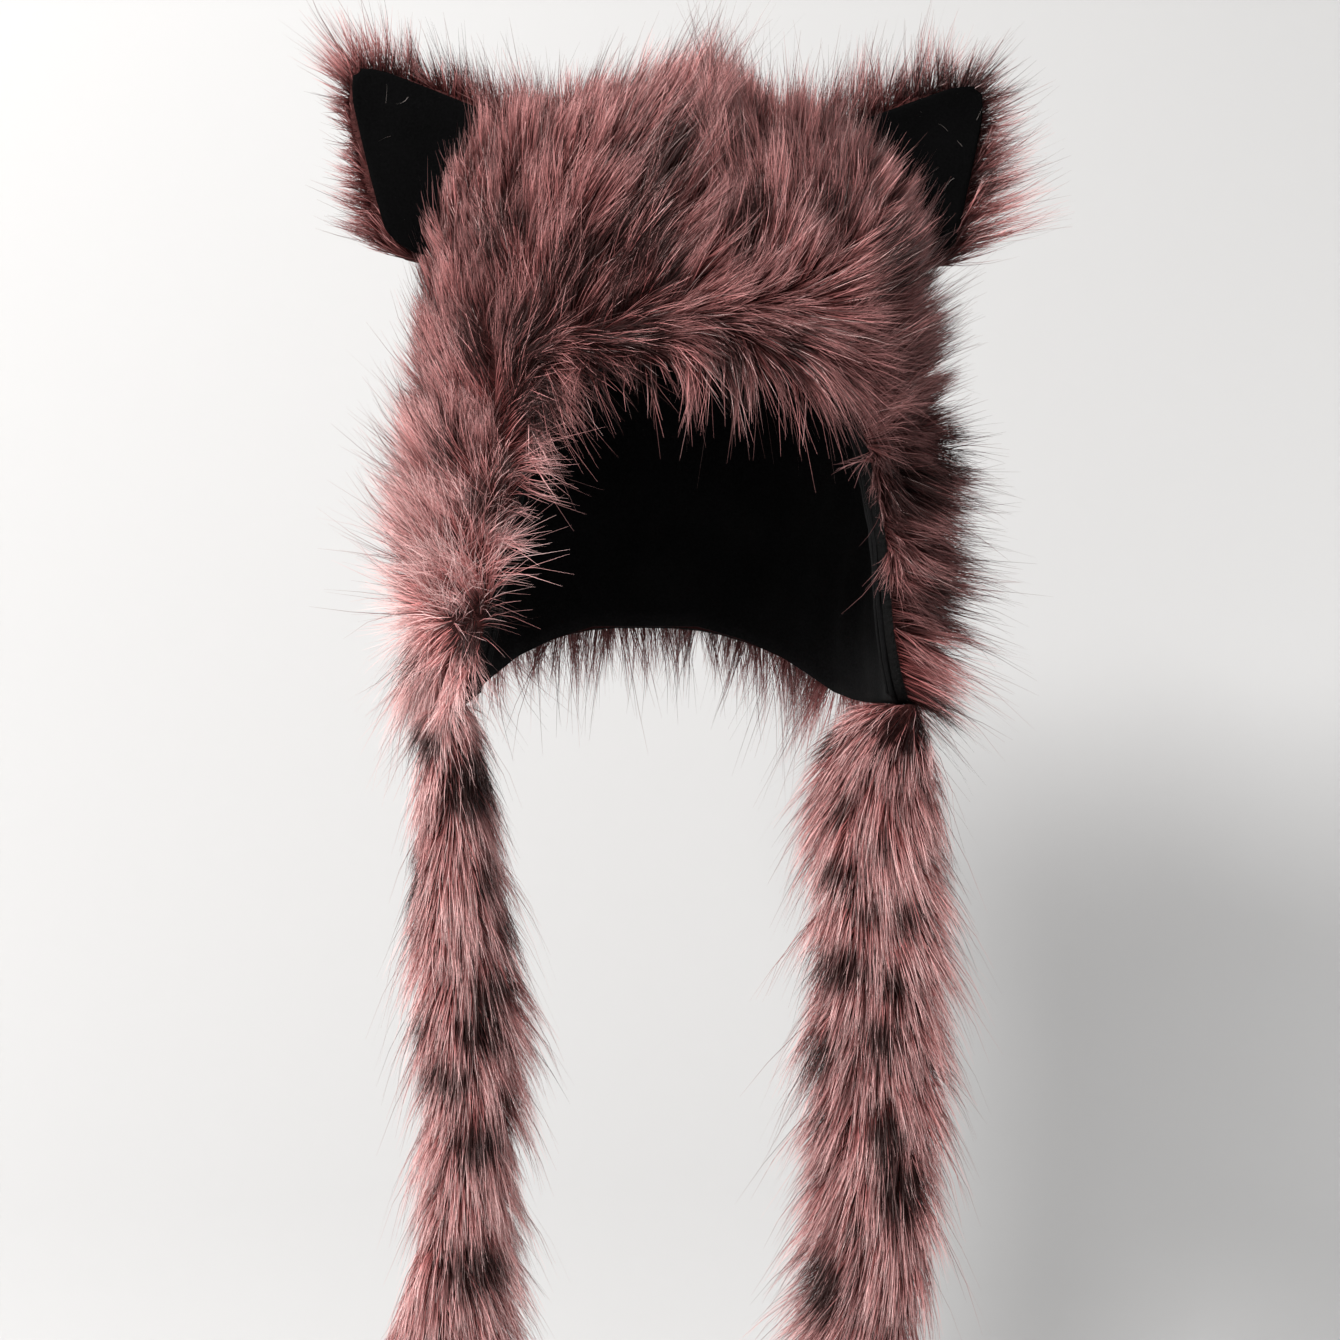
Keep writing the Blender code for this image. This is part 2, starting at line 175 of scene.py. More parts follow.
def paper_material():
    """Backdrop paper that only its front side shows, so that the hat can be seen from behind too."""
    material = plain_material("backdrop_paper", (PAPER_GREY, PAPER_GREY, PAPER_GREY), 1.0)
    tree = material.node_tree
    side = tree.nodes.new("ShaderNodeNewGeometry")
    clear = tree.nodes.new("ShaderNodeBsdfTransparent")
    mix = tree.nodes.new("ShaderNodeMixShader")
    tree.links.new(side.outputs["Backfacing"], mix.inputs[0])
    tree.links.new(tree.nodes["Principled BSDF"].outputs[0], mix.inputs[1])
    tree.links.new(clear.outputs[0], mix.inputs[2])
    tree.links.new(mix.outputs[0], tree.nodes["Material Output"].inputs["Surface"])
    return material


def add_backdrop():
    profile = [(-PAPER_REACH, FLOOR)]
    for step in range(FILLET_STEPS + 1):
        angle = math.pi / 2 * step / FILLET_STEPS
        profile.append((WALL - FILLET + FILLET * math.sin(angle), FLOOR + FILLET - FILLET * math.cos(angle)))
    profile.append((WALL, WALL_TOP))
    points = [(x, y, z) for x in (-PAPER_REACH, PAPER_REACH) for y, z in profile]
    count = len(profile)
    faces = [(k, k + count, k + count + 1, k + 1) for k in range(count - 1)]
    mesh = bpy.data.meshes.new("backdrop")
    mesh.from_pydata(points, [], faces)
    mesh.shade_smooth()
    mesh.materials.append(paper_material())
    backdrop = bpy.data.objects.new("backdrop", mesh)
    bpy.context.scene.collection.objects.link(backdrop)


def add_lamp(name, place, target, size, watts, colour):
    light = bpy.data.lights.new(name, "AREA")
    light.shape = "SQUARE"
    light.size = size
    light.energy = watts
    light.color = colour
    lamp = bpy.data.objects.new(name, light)
    lamp.location = place
    lamp.rotation_euler = (Vector(target) - Vector(place)).to_track_quat("-Z", "Y").to_euler()
    bpy.context.scene.collection.objects.link(lamp)


def add_world(colour, strength):
    world = bpy.data.worlds.new("studio")
    world.use_nodes = True
    world.node_tree.nodes["Background"].inputs["Color"].default_value = (*colour, 1.0)
    world.node_tree.nodes["Background"].inputs["Strength"].default_value = strength
    bpy.context.scene.world = world


add_backdrop()
for name, lamp in LAMPS.items():
    add_lamp(name, *lamp)
add_world(SKY, SKY_STRENGTH)
bpy.context.scene.view_settings.view_transform = "Standard"
print("lamps:", len(LAMPS))

# %% [markdown]
# ## A pen for node trees
#
# Both fur and materials are drawn as node trees. This small class adds a node, sets it and links what it is
# given in one call, which keeps the trees below as short as the formulas they stand for.

# %% The pen


def live(sockets, name):
    """The socket of a name that is in use, where a node has one for each type of data."""
    return next(socket for socket in sockets if socket.name == name and socket.enabled)


class Pen:
    def __init__(self, tree):
        self.tree = tree

    def put(self, socket, value):
        if isinstance(value, bpy.types.NodeSocket):
            self.tree.links.new(value, socket)
        else:
            socket.default_value = value

    def node(self, kind, inputs=(), **settings):
        made = self.tree.nodes.new(kind)
        for name, value in settings.items():
            setattr(made, name, value)
        for name, value in dict(inputs).items():
            self.put(live(made.inputs, name), value)
        return made

    def math(self, operation, *values):
        made = self.node("ShaderNodeMath", operation=operation)
        for socket, value in zip(made.inputs, values):
            self.put(socket, value)
        return made.outputs["Value"]

    def plus(self, first, second):
        return self.math("ADD", first, second)

    def minus(self, first, second):
        return self.math("SUBTRACT", first, second)

    def times(self, first, *others):
        for other in others:
            first = self.math("MULTIPLY", first, other)
        return first

    def vector(self, operation, *values):
        made = self.node("ShaderNodeVectorMath", operation=operation)
        for socket, value in zip([s for s in made.inputs if s.enabled], values):
            self.put(socket, value)
        return next(socket for socket in made.outputs if socket.enabled)

    def scaled(self, vector, factor):
        return self.vector("SCALE", vector, factor)

    def total(self, first, *others):
        for other in others:
            first = self.vector("ADD", first, other)
        return first

    def split(self, vector):
        return self.node("ShaderNodeSeparateXYZ", {"Vector": vector}).outputs

    def attribute(self, name, kind="FLOAT"):
        made = self.node("GeometryNodeInputNamedAttribute", {"Name": name}, data_type=kind)
        return live(made.outputs, "Attribute")

    def stored(self, geometry, name, value, kind="FLOAT", domain="POINT"):
        inputs = {"Geometry": geometry, "Name": name, "Value": value}
        made = self.node("GeometryNodeStoreNamedAttribute", inputs, data_type=kind, domain=domain)
        return made.outputs["Geometry"]


# %% [markdown]
# ## The fur machine
#
# Real faux fur is a knitted backing with fibres of three or four centimetres that stand in small tufts. One
# node tree makes all of it. Points are scattered over the backing, a narrow ribbon of three quads is put on
# each, and then every corner of every ribbon is moved by one formula: out along the lie of the pile,
# bending over, drawn towards the middle of its tuft, and a little frizzy. Tufts come from a Voronoi
# texture, whose Position output is the middle of the cell a root lies in, and two sizes of cell give locks
# within tufts.
#
# The backing carries what a comb would leave on it, as attributes: `lie` is the way the pile is brushed,
# `lift` how steeply it stands, `reach` its length as a share of full length, `ruffle` how mussed it is and
# `cover` how densely it grows.

# %% The fur tree
FUR_SIZES = {
    "Density": 400000.0,
    "Length": 0.036,
    "Width": 0.00036,
    "Droop": 0.10,
    "Tuft Size": 0.016,
    "Tuft Pull": 0.45,
    "Tuft Sway": 0.75,
    "Lock Size": 0.005,
    "Lock Pull": 0.35,
    "Frizz": 0.16,
    "Twist": 1.3,
    "Stray": 0.75,
}
STRAND_POINTS = 4
VECTOR_MARKS = ("root", "out", "lie", "chance", "tuft", "tuft_chance", "lock", "lock_chance")

# How much strands and tufts differ in length and lift. Chances run from 0 to 1, and their middle is HALF
HALF = (0.5, 0.5, 0.5)
SHORTEST = 0.64
LENGTH_SPREAD = 0.42
TUFT_LENGTH_SPREAD = 0.68
LOCK_SHARE = 0.6
LIFT_LEAST = 0.65
LIFT_SPREAD = 0.6
TUFT_LIFT = 0.6
STRAY_POWER = 13.0

# How a strand bends along its length, how it is drawn to its tuft and lock, and how it tapers
BEND_BACK = 0.3
BEND_ON = 0.35
BEND_IN = 0.12
TUFT_POWER = 1.3
LOCK_POWER = 0.9
TAPER = 0.86
TAPER_POWER = 1.6
FRIZZ_SCALE = 160.0
FRIZZ_APART = 0.02
FRIZZ_GAIN = 4.0


def gathered(pen, points, name, place, size):
    """Stores, for each root, the way to the middle of its tuft and three chances that the tuft shares."""
    cell = pen.node("ShaderNodeTexVoronoi", {"Vector": place, "Scale": pen.math("DIVIDE", 1.0, size)})
    towards = pen.vector("SUBTRACT", cell.outputs["Position"], place)
    points = pen.stored(points, name, towards, "FLOAT_VECTOR")
    return pen.stored(points, name + "_chance", cell.outputs["Color"], "FLOAT_VECTOR")


def planted(pen, size):
    """A flat ribbon of unit size on each root, that carries what its root knows."""
    density = pen.times(size["Density"], pen.attribute("cover"))
    scattering = {"Mesh": size["Backing"], "Density": density, "Seed": size["Seed"]}
    scatter = pen.node("GeometryNodeDistributePointsOnFaces", scattering)
    chance = pen.node("FunctionNodeRandomValue", {"Seed": size["Seed"]}, data_type="FLOAT_VECTOR")
    place = pen.node("GeometryNodeInputPosition").outputs[0]
    points = pen.stored(scatter.outputs["Points"], "root", place, "FLOAT_VECTOR")
    points = pen.stored(points, "out", scatter.outputs["Normal"], "FLOAT_VECTOR")
    points = pen.stored(points, "chance", live(chance.outputs, "Value"), "FLOAT_VECTOR")
    points = gathered(pen, points, "tuft", place, size["Tuft Size"])
    points = gathered(pen, points, "lock", place, size["Lock Size"])
    grid = {"Size X": 1.0, "Size Y": 1.0, "Vertices X": 2, "Vertices Y": STRAND_POINTS}
    ribbon = pen.node("GeometryNodeMeshGrid", grid).outputs["Mesh"]
    spot = pen.split(place)
    ribbon = pen.stored(ribbon, "along", pen.plus(spot["Y"], 0.5))
    ribbon = pen.stored(ribbon, "edge", spot["X"])
    ribbons = pen.node("GeometryNodeInstanceOnPoints", {"Points": points, "Instance": ribbon})
    return pen.node("GeometryNodeRealizeInstances", {"Geometry": ribbons.outputs["Instances"]}).outputs[0]


def combed_corner(pen, size):
    """Where each corner of a ribbon goes."""
    root, out, lie, chance, tuft, tuft_chance, lock, lock_chance = (
        pen.attribute(name, "FLOAT_VECTOR") for name in VECTOR_MARKS
    )
    luck = pen.split(chance)
    along = pen.attribute("along")
    along_squared = pen.times(along, along)
    tuft_luck = pen.vector("SUBTRACT", tuft_chance, HALF)
    lock_luck = pen.vector("SUBTRACT", lock_chance, HALF)
    shared = pen.split(pen.total(tuft_luck, pen.scaled(lock_luck, LOCK_SHARE)))
    straying = pen.math("POWER", luck["X"], STRAY_POWER)

    own_share = pen.plus(SHORTEST, pen.times(luck["X"], LENGTH_SPREAD))
    own_share = pen.plus(own_share, pen.times(straying, size["Stray"]))
    tuft_share = pen.plus(1.0, pen.times(shared["Z"], TUFT_LENGTH_SPREAD))
    length = pen.times(size["Length"], own_share, tuft_share, pen.attribute("reach"))

    lift = pen.times(pen.attribute("lift"), pen.plus(LIFT_LEAST, pen.times(luck["Y"], LIFT_SPREAD)))
    lift = pen.plus(lift, pen.times(shared["Y"], pen.times(size["Tuft Sway"], TUFT_LIFT)))
    beside = pen.vector("NORMALIZE", pen.vector("CROSS_PRODUCT", lie, out))
    swaying = pen.times(size["Tuft Sway"], pen.attribute("ruffle"))
    sway = pen.scaled(beside, pen.times(shared["X"], swaying))
    start = pen.vector("NORMALIZE", pen.total(lie, sway, pen.scaled(out, lift)))
    bend = pen.vector("SUBTRACT", pen.scaled(lie, BEND_ON), pen.scaled(out, BEND_IN))
    bend = pen.vector("SUBTRACT", bend, pen.node("ShaderNodeCombineXYZ", {"Z": size["Droop"]}).outputs[0])
    onward = pen.minus(along, pen.times(along_squared, BEND_BACK))
    shape = pen.total(pen.scaled(start, onward), pen.scaled(bend, along_squared))
    centre = pen.total(root, pen.scaled(shape, length))

    kept = pen.minus(1.0, straying)
    tuft_pull = pen.times(size["Tuft Pull"], kept, pen.math("POWER", along, TUFT_POWER))
    lock_pull = pen.times(size["Lock Pull"], kept, pen.math("POWER", along, LOCK_POWER))
    field = pen.total(root, pen.scaled(chance, FRIZZ_APART))
    noise = {"Vector": field, "Scale": FRIZZ_SCALE, "Detail": 1.0}
    wander = pen.node("ShaderNodeTexNoise", noise).outputs["Color"]
    frizziness = pen.times(size["Frizz"], FRIZZ_GAIN, pen.attribute("ruffle"))
    frizziness = pen.times(frizziness, pen.times(along_squared, length))
    frizz = pen.scaled(pen.vector("SUBTRACT", wander, HALF), frizziness)

    across = pen.vector("NORMALIZE", pen.vector("CROSS_PRODUCT", start, out))
    deep = pen.vector("CROSS_PRODUCT", across, start)
    turn = pen.times(pen.minus(luck["Z"], 0.5), pen.times(size["Twist"], 2.0))
    flat = pen.total(pen.scaled(across, pen.math("COSINE", turn)), pen.scaled(deep, pen.math("SINE", turn)))
    taper = pen.minus(1.0, pen.times(pen.math("POWER", along, TAPER_POWER), TAPER))
    half = pen.times(pen.attribute("edge"), size["Width"], taper)
    drawn = pen.total(centre, pen.scaled(tuft, tuft_pull), pen.scaled(lock, lock_pull))
    return pen.total(drawn, frizz, pen.scaled(flat, half))


def fur_tree():
    tree = bpy.data.node_groups.new("fur", "GeometryNodeTree")
    tree.is_modifier = True
    face = tree.interface
    face.new_socket("Backing", in_out="INPUT", socket_type="NodeSocketGeometry")
    for name, value in FUR_SIZES.items():
        face.new_socket(name, in_out="INPUT", socket_type="NodeSocketFloat").default_value = value
    face.new_socket("Seed", in_out="INPUT", socket_type="NodeSocketInt")
    face.new_socket("Pile", in_out="INPUT", socket_type="NodeSocketMaterial")
    face.new_socket("Fur", in_out="OUTPUT", socket_type="NodeSocketGeometry")
    pen = Pen(tree)
    size = pen.node("NodeGroupInput").outputs
    moving = {"Geometry": planted(pen, size), "Position": combed_corner(pen, size)}
    moved = pen.node("GeometryNodeSetPosition", moving)
    smooth = pen.node("GeometryNodeSetShadeSmooth", {"Geometry": moved.outputs[0]})
    dressed = pen.node("GeometryNodeSetMaterial", {"Geometry": smooth.outputs[0], "Material": size["Pile"]})
    pen.node("NodeGroupOutput", {"Fur": dressed.outputs[0]})
    return tree


FUR = fur_tree()
print("fur tree:", len(FUR.nodes), "nodes")


# %% [markdown]
# ## From a tree to a piece
#
# A modifier is only a recipe, so its result is taken as a plain mesh before the piece is handed on. `grown`
# puts the fur tree on a backing, sets its inputs by their identifiers, and keeps what comes out. Last come
# the shears: the few strands that would stand further out of the hat's box than pile does are cut shorter.

# %% Growing a piece
SHEAR_SHARE = 0.03
SHEAR_PROUD = 0.009
HARDLY = 0.00001
CORNERS = 2 * STRAND_POINTS


def read_attribute(mesh, name, width=3):
    values = np.empty(len(mesh.vertices) * width, np.float32)
    mesh.attributes[name].data.foreach_get("vector" if width == 3 else "value", values)
    return values.reshape(-1, width)


def mark(mesh, **marks):
    """Writes values on the points of a mesh, a number or a vector for each point, under their names."""
    for name, values in marks.items():
        kind, field = ("FLOAT_VECTOR", "vector") if values.ndim == 2 else ("FLOAT", "value")
        layer = mesh.attributes.new(name, kind, "POINT")
        layer.data.foreach_set(field, values.astype(np.float32).ravel())


def mesh_points(mesh):
    values = np.empty(len(mesh.vertices) * 3, np.float32)
    mesh.vertices.foreach_get("co", values)
    return values.reshape(-1, 3)


def move_points(mesh, points):
    mesh.vertices.foreach_set("co", points.astype(np.float32).ravel())


def shear(mesh):
    """Shortens the strands that stand too far out of the box of the plain model."""
    points = mesh_points(mesh).reshape(-1, CORNERS, 3)
    roots = read_attribute(mesh, "root").reshape(-1, CORNERS, 3)
    low, high = (np.array(corner) for corner in cad_box)
    room = SHEAR_SHARE * (high - low) + SHEAR_PROUD
    reached = points - roots
    limit = np.where(reached > 0, high + room, low - room) - roots
    still = np.abs(reached) < HARDLY
    share = np.clip(limit / np.where(still, HARDLY, reached), 0, 1)
    share = np.where(still, 1, share).min(axis=(1, 2))
    move_points(mesh, roots + reached * share[:, None, None])
    return int((share < 1).sum())


def new_piece(name, mesh, material=None):
    piece = bpy.data.objects.new(name, mesh)
    bpy.context.scene.collection.objects.link(piece)
    if material:
        mesh.materials.clear()
        mesh.materials.append(material)
    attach(piece, "root")
    return piece


def stand_in(node):
    """Hides the plain node that a piece stands for."""
    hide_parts(node)


def holding(mesh, name):
    """A helper object that holds a mesh while modifiers work on it."""
    holder = bpy.data.objects.new(name + "_recipe", mesh)
    bpy.context.scene.collection.objects.link(holder)
    return holder


def applied(holder):
    """The mesh that a helper object's modifiers make. The helper is let go."""
    depsgraph = bpy.context.evaluated_depsgraph_get()
    mesh = bpy.data.meshes.new_from_object(holder.evaluated_get(depsgraph))
    bpy.data.objects.remove(holder)
    return mesh


def grown(name, backing, material, seed, **sizes):
    holder = holding(backing, name)
    recipe = holder.modifiers.new("fur", "NODES")
    recipe.node_group = FUR
    inputs = {item.name: item.identifier for item in FUR.interface.items_tree if item.in_out == "INPUT"}
    wanted = {key.replace("_", " ").title(): value for key, value in sizes.items()}
    for key, value in {**FUR_SIZES, **wanted, "Seed": seed, "Pile": material}.items():
        recipe[inputs[key]] = value
    mesh = applied(holder)
    mesh.name = name
    cut = shear(mesh)
    strands = len(mesh.vertices) // CORNERS
    print(f"{name}: {strands} strands, {cut} cut shorter, {len(mesh.polygons) * 2} triangles")
    return new_piece(name, mesh)


# %% [markdown]
# ## Where the pile is brushed
#
# Fur is cut from the bolt with its nap running one way and is then ruffled by hands and wind, so the way it
# lies is charted rather than computed. Each row gives a place as the camera sees it, the heading of the
# pile there, with 0 to the right and 90 up, its lift and its reach. Between the rows the chart is blended
# by distance. Behind the hat the same chart serves again, seen through the hat, which is close to how a
# second panel of the same cloth would lie.

# %% The chart of the pile
CROWN_LIE = np.array(
    [
        # across mm, height mm, heading degrees, lift, reach
        (-95, 5, 100, 0.6, 0.60),
        (-60, 10, 82, 0.7, 0.46),
        (-28, 19, 64, 0.8, 0.62),
        (-7, 21, 62, 0.8, 1.00),
        (14, 22, 60, 0.7, 0.78),
        (30, 22, 95, 0.5, 0.45),
        (54, 17, 105, 0.5, 0.12),
        (76, 5, 85, 0.4, 0.42),
        (105, 0, 75, 0.3, 0.45),
        (-105, -40, 90, 0.3, 0.50),
        (-60, -40, 68, 0.5, 0.90),
        (-15, -40, 54, 0.5, 1.00),
        (10, -15, 56, 0.5, 1.00),
        (12, -40, 56, 0.5, 1.05),
        (12, -70, 54, 0.5, 1.05),
        (28, -15, 108, 0.5, 0.95),
        (30, -45, 112, 0.5, 1.00),
        (30, -70, 100, 0.5, 1.00),
        (48, -30, 100, 0.5, 0.95),
        (75, -45, 88, 0.4, 0.80),
        (110, -50, 60, 0.25, 0.45),
        (-118, -90, 105, 0.3, 0.54),
        (-80, -90, 85, 0.5, 0.90),
        (-40, -90, 64, 0.5, 1.00),
        (0, -90, 52, 0.5, 1.00),
        (30, -74, 88, 0.6, 1.00),
        (60, -85, 62, 0.5, 0.95),
        (100, -85, 45, 0.5, 0.80),
        (125, -80, 50, 0.3, 0.48),
        (-122, -140, 120, 0.4, 0.56),
        (-90, -130, 100, 0.5, 0.80),
        (-75, -105, 85, 0.7, 0.85),
        (-72, -118, 20, 1.1, 0.85),
        (-62, -128, 310, 0.8, 0.95),
        (-40, -96, 60, 1.1, 0.90),
        (-40, -108, 20, 1.8, 0.95),
        (-38, -121, 285, 0.9, 0.85),
        (-15, -91, 50, 1.0, 0.90),
        (-15, -104, 352, 1.5, 0.92),
        (-12, -121, 275, 0.9, 0.80),
        (10, -86, 50, 1.0, 0.95),
        (10, -99, 335, 1.5, 1.00),
        (10, -117, 262, 0.9, 0.95),
        (36, -82, 55, 1.0, 1.00),
        (36, -95, 330, 1.5, 1.05),
        (35, -115, 272, 0.8, 1.12),
        (62, -84, 50, 1.0, 1.00),
        (62, -98, 335, 1.5, 1.05),
        (62, -117, 285, 0.8, 1.12),
        (80, -126, 290, 0.7, 1.05),
        (88, -108, 40, 0.6, 0.80),
        (105, -130, 35, 0.5, 0.62),
        (130, -135, 30, 0.4, 0.38),
        (-128, -185, 140, 0.4, 0.65),
        (-105, -180, 100, 0.6, 0.80),
        (-88, -160, 60, 0.6, 0.80),
        (-78, -185, 0, 0.7, 0.60),
        (-62, -158, 330, 0.7, 0.60),
        (95, -180, 200, 0.5, 0.70),
        (112, -180, 340, 0.6, 0.70),
        (135, -185, 20, 0.45, 0.65),
        (-130, -225, 155, 0.45, 0.65),
        (-113, -215, 112, 0.9, 0.90),
        (-99, -215, 70, 0.9, 0.85),
        (-83, -210, 5, 0.7, 0.85),
        (-86, -230, 350, 0.8, 0.80),
        (-89, -248, 338, 0.8, 1.00),
        (-92, -268, 325, 0.7, 1.00),
        (-126, -240, 150, 0.8, 0.50),
        (-114, -237, 108, 1.1, 1.00),
        (-100, -237, 20, 1.2, 0.95),
        (-127, -256, 250, 0.35, 0.62),
        (-113, -258, 262, 0.9, 1.00),
        (-100, -258, 295, 0.8, 0.90),
        (100, -225, 215, 0.5, 0.75),
        (118, -225, 350, 0.6, 0.75),
        (138, -225, 355, 0.45, 0.60),
        (-130, -274, 252, 0.3, 0.62),
        (100, -270, 245, 0.5, 0.80),
        (120, -262, 345, 0.6, 0.80),
        (110, -284, 325, 0.6, 0.90),
        (135, -266, 352, 0.45, 0.70),
        (0, -200, 265, 0.5, 0.90),
        (0, -250, 268, 0.3, 0.75),
        (45, -236, 264, 0.3, 0.95),
        (70, -250, 258, 0.3, 1.20),
        (86, -268, 252, 0.35, 1.20),
        (-50, -245, 268, 0.3, 0.80),
    ],
    float,
)
LIE_BLEND = 0.007


def charted(chart, across, height, columns, blend):
    """Columns of a chart at many places, blended by distance."""
    gaps = (across[:, None] - chart[:, 0] / 1000) ** 2 + (height[:, None] - chart[:, 1] / 1000) ** 2
    weights = 1 / (gaps + blend**2) ** 2
    weights /= weights.sum(axis=1, keepdims=True)
    return weights @ columns


def brushed(points, normals, chart):
    """The lie, the lift and the reach of the pile at points of a backing, from a chart.

    Where two headings meet, the lie is short, so that the pile stands up, as it does at a parting, and there
    `combed` ruffles it and makes it denser.
    """
    across, height = seen(points)
    headings = np.radians(chart[:, 2])
    columns = np.column_stack([np.cos(headings), np.sin(headings), chart[:, 3:]])
    blended = charted(chart, across, height, columns, LIE_BLEND)
    lie = blended[:, :1] * ACROSS + blended[:, 1:2] * UP
    outward = (lie * normals).sum(axis=1, keepdims=True)
    lie -= normals * np.minimum(outward, 0)
    return lie, blended[:, 2], blended[:, 3]


print("rows in the chart of the crown:", len(CROWN_LIE))

# %% [markdown]
# ## Dye
#
# The cloth is a dusty rose with dark spots printed on the tips of the pile, so a spot has a feathered edge
# that follows the strands. A picture laid over the fur would paint roots and tips alike. The spots are
# charted instead, as leaning ovals, and a strand is dark where it passes through one.

# %% The chart of the spots
SPOTS = np.array(
    [
        # across mm, height mm, half width mm, half height mm, tilt degrees, strength
        (-23, -13, 6, 5, 0, 0.9),
        (0, -16, 10, 24, 28, 1.0),
        (-52, -75, 11, 25, 22, 1.0),
        (-71, -125, 12, 33, -8, 1.0),
        (-25, -112, 20, 28, 10, 1.0),
        (-17, -54, 14, 22, 28, 1.0),
        (0, -76, 8, 12, 10, 1.0),
        (35, -8, 5, 6, 0, 0.9),
        (43, -40, 9, 9, 0, 1.0),
        (35, -55, 6, 13, 0, 1.0),
        (28, -116, 8, 18, 0, 1.0),
        (60, -118, 9, 12, 0, 1.0),
        (81, -40, 9, 8, 20, 0.8),
        (-78, -48, 11, 5, 20, 0.8),
        (-91, -60, 6, 13, 0, 0.6),
        (-99, -110, 8, 15, 0, 0.8),
        (112, -66, 9, 17, 0, 1.0),
        (-114, -162, 7, 11, 0, 0.9),
        (-82, -169, 7, 5, 0, 0.8),
        (-88, -189, 14, 10, 0, 0.9),
        (-93, -253, 20, 14, -20, 0.85),
        (-132, -271, 5, 5, 0, 0.9),
        (141, -163, 8, 13, 0, 0.9),
        (123, -184, 15, 13, 0, 1.0),
        (133, -233, 8, 8, 0, 0.9),
        (128, -299, 13, 10, 0, 0.9),
        (-100, -330, 11, 16, 0, 1.0),
        (-124, -310, 7, 8, 0, 0.9),
        (-130, -376, 4, 12, 0, 0.9),
        (-94, -378, 5, 10, 0, 0.8),
        (-130, -406, 5, 4, 0, 0.5),
        (-83, -405, 5, 9, 0, 0.8),
        (-90, -433, 10, 7, 0, 1.0),
        (-127, -451, 4, 6, 0, 0.9),
        (-96, -454, 10, 11, 0, 1.0),
        (-112, -478, 15, 7, 0, 0.6),
        (-83, -489, 4, 6, 0, 0.9),
        (-98, -510, 11, 10, 0, 1.0),
        (-98, -573, 13, 12, 0, 1.0),
        (114, -305, 12, 11, 0, 1.0),
        (75, -305, 5, 9, 0, 0.9),
        (85, -343, 5, 8, 0, 0.9),
        (105, -361, 4, 5, 0, 0.8),
        (85, -376, 10, 7, 20, 0.9),
        (96, -395, 7, 7, 0, 0.6),
        (118, -398, 6, 8, 0, 0.9),
        (83, -422, 16, 8, 0, 1.0),
        (112, -432, 5, 9, 0, 0.9),
        (71, -465, 8, 12, 0, 0.9),
        (106, -458, 8, 9, 0, 0.9),
        (73, -499, 4, 6, 0, 0.9),
        (107, -507, 7, 14, 0, 1.0),
        (116, -535, 11, 13, 0, 1.0),
        (92, -554, 4, 6, 0, 0.8),
        (75, -581, 9, 16, 0, 1.0),
        (93, -576, 2, 9, 0, 0.7),
        (135, 23, 26, 15, 20, 1.0),
        (162, -28, 8, 6, 0, 0.8),
        (128, -78, 4, 6, 0, 0.8),
        (-156, 17, 5, 6, 0, 0.9),
        (-143, 26, 8, 6, 0, 0.8),
    ],
    float,
)
SPOT_REACH = 1.35
SPOT_EDGE = 0.45


def spotted(across, height):
    """How dark the print is at places of the chart, from 0 to 1, with a soft edge to each spot."""
    dark = np.zeros(len(across))
    for x, z, half_width, half_height, tilt, strength in SPOTS:
        angle = math.radians(tilt)
        aside = across - x / 1000
        above = height - z / 1000
        along_spot = (aside * math.sin(angle) + above * math.cos(angle)) / (half_height / 1000)
        over_spot = (aside * math.cos(angle) - above * math.sin(angle)) / (half_width / 1000)
        inside = SPOT_REACH - np.hypot(along_spot, over_spot)
        dark = np.maximum(dark, strength * np.clip(inside / SPOT_EDGE, 0, 1))
    return dark


print("spots:", len(SPOTS))

# %% [markdown]
# ## Tone and painted light
#
# A pelt isn't one colour all over, and this chart sets how bright the cloth is from place to place. It
# holds the cloth's own tone and painted light and shade in one: the left flap and tail are painted lighter
# and the right flap darker, as light from the upper left falls on them. The tone is charted and blended as
# the lie of the pile is.
# Behind the hat the chart is seen through it, and round the sides one tone passes softly into the other.

# %% The chart of the tone
# Brightness by place: the cloth's own tone and painted light, lighter on the lit left, darker on the right
TONE_AND_PAINTED_LIGHT = np.array(
    [
        # across mm, height mm, brightness
        (-130, 10, 0.85),
        (-80, -10, 0.72),
        (-30, 10, 0.98),
        (0, 0, 1.10),
        (40, 10, 0.72),
        (80, 0, 0.50),
        (130, 10, 0.75),
        (-100, -80, 0.85),
        (-50, -60, 0.94),
        (0, -60, 1.10),
        (60, -60, 1.25),
        (100, -60, 0.85),
        (120, -100, 0.50),
        (-50, -115, 0.80),
        (-10, -115, 0.75),
        (40, -120, 0.64),
        (80, -120, 0.56),
        (100, -110, 0.60),
        (-110, -150, 1.15),
        (-90, -190, 1.40),
        (-115, -240, 1.95),
        (125, -180, 0.42),
        (70, -260, 0.50),
        (0, -240, 0.55),
        (-70, -260, 0.60),
        (125, -230, 0.60),
        (-110, -290, 2.30),
        (110, -290, 1.40),
        (-105, -400, 1.95),
        (100, -400, 1.78),
        (-105, -600, 2.00),
        (95, -600, 1.58),
    ],
    float,
)

TONE_BLEND = 0.02
SPOT_BACK_SHIFT = 0.014
BACK_TONE = 1.3
BEHIND_FROM = 0.15
BEHIND_OVER = 0.65


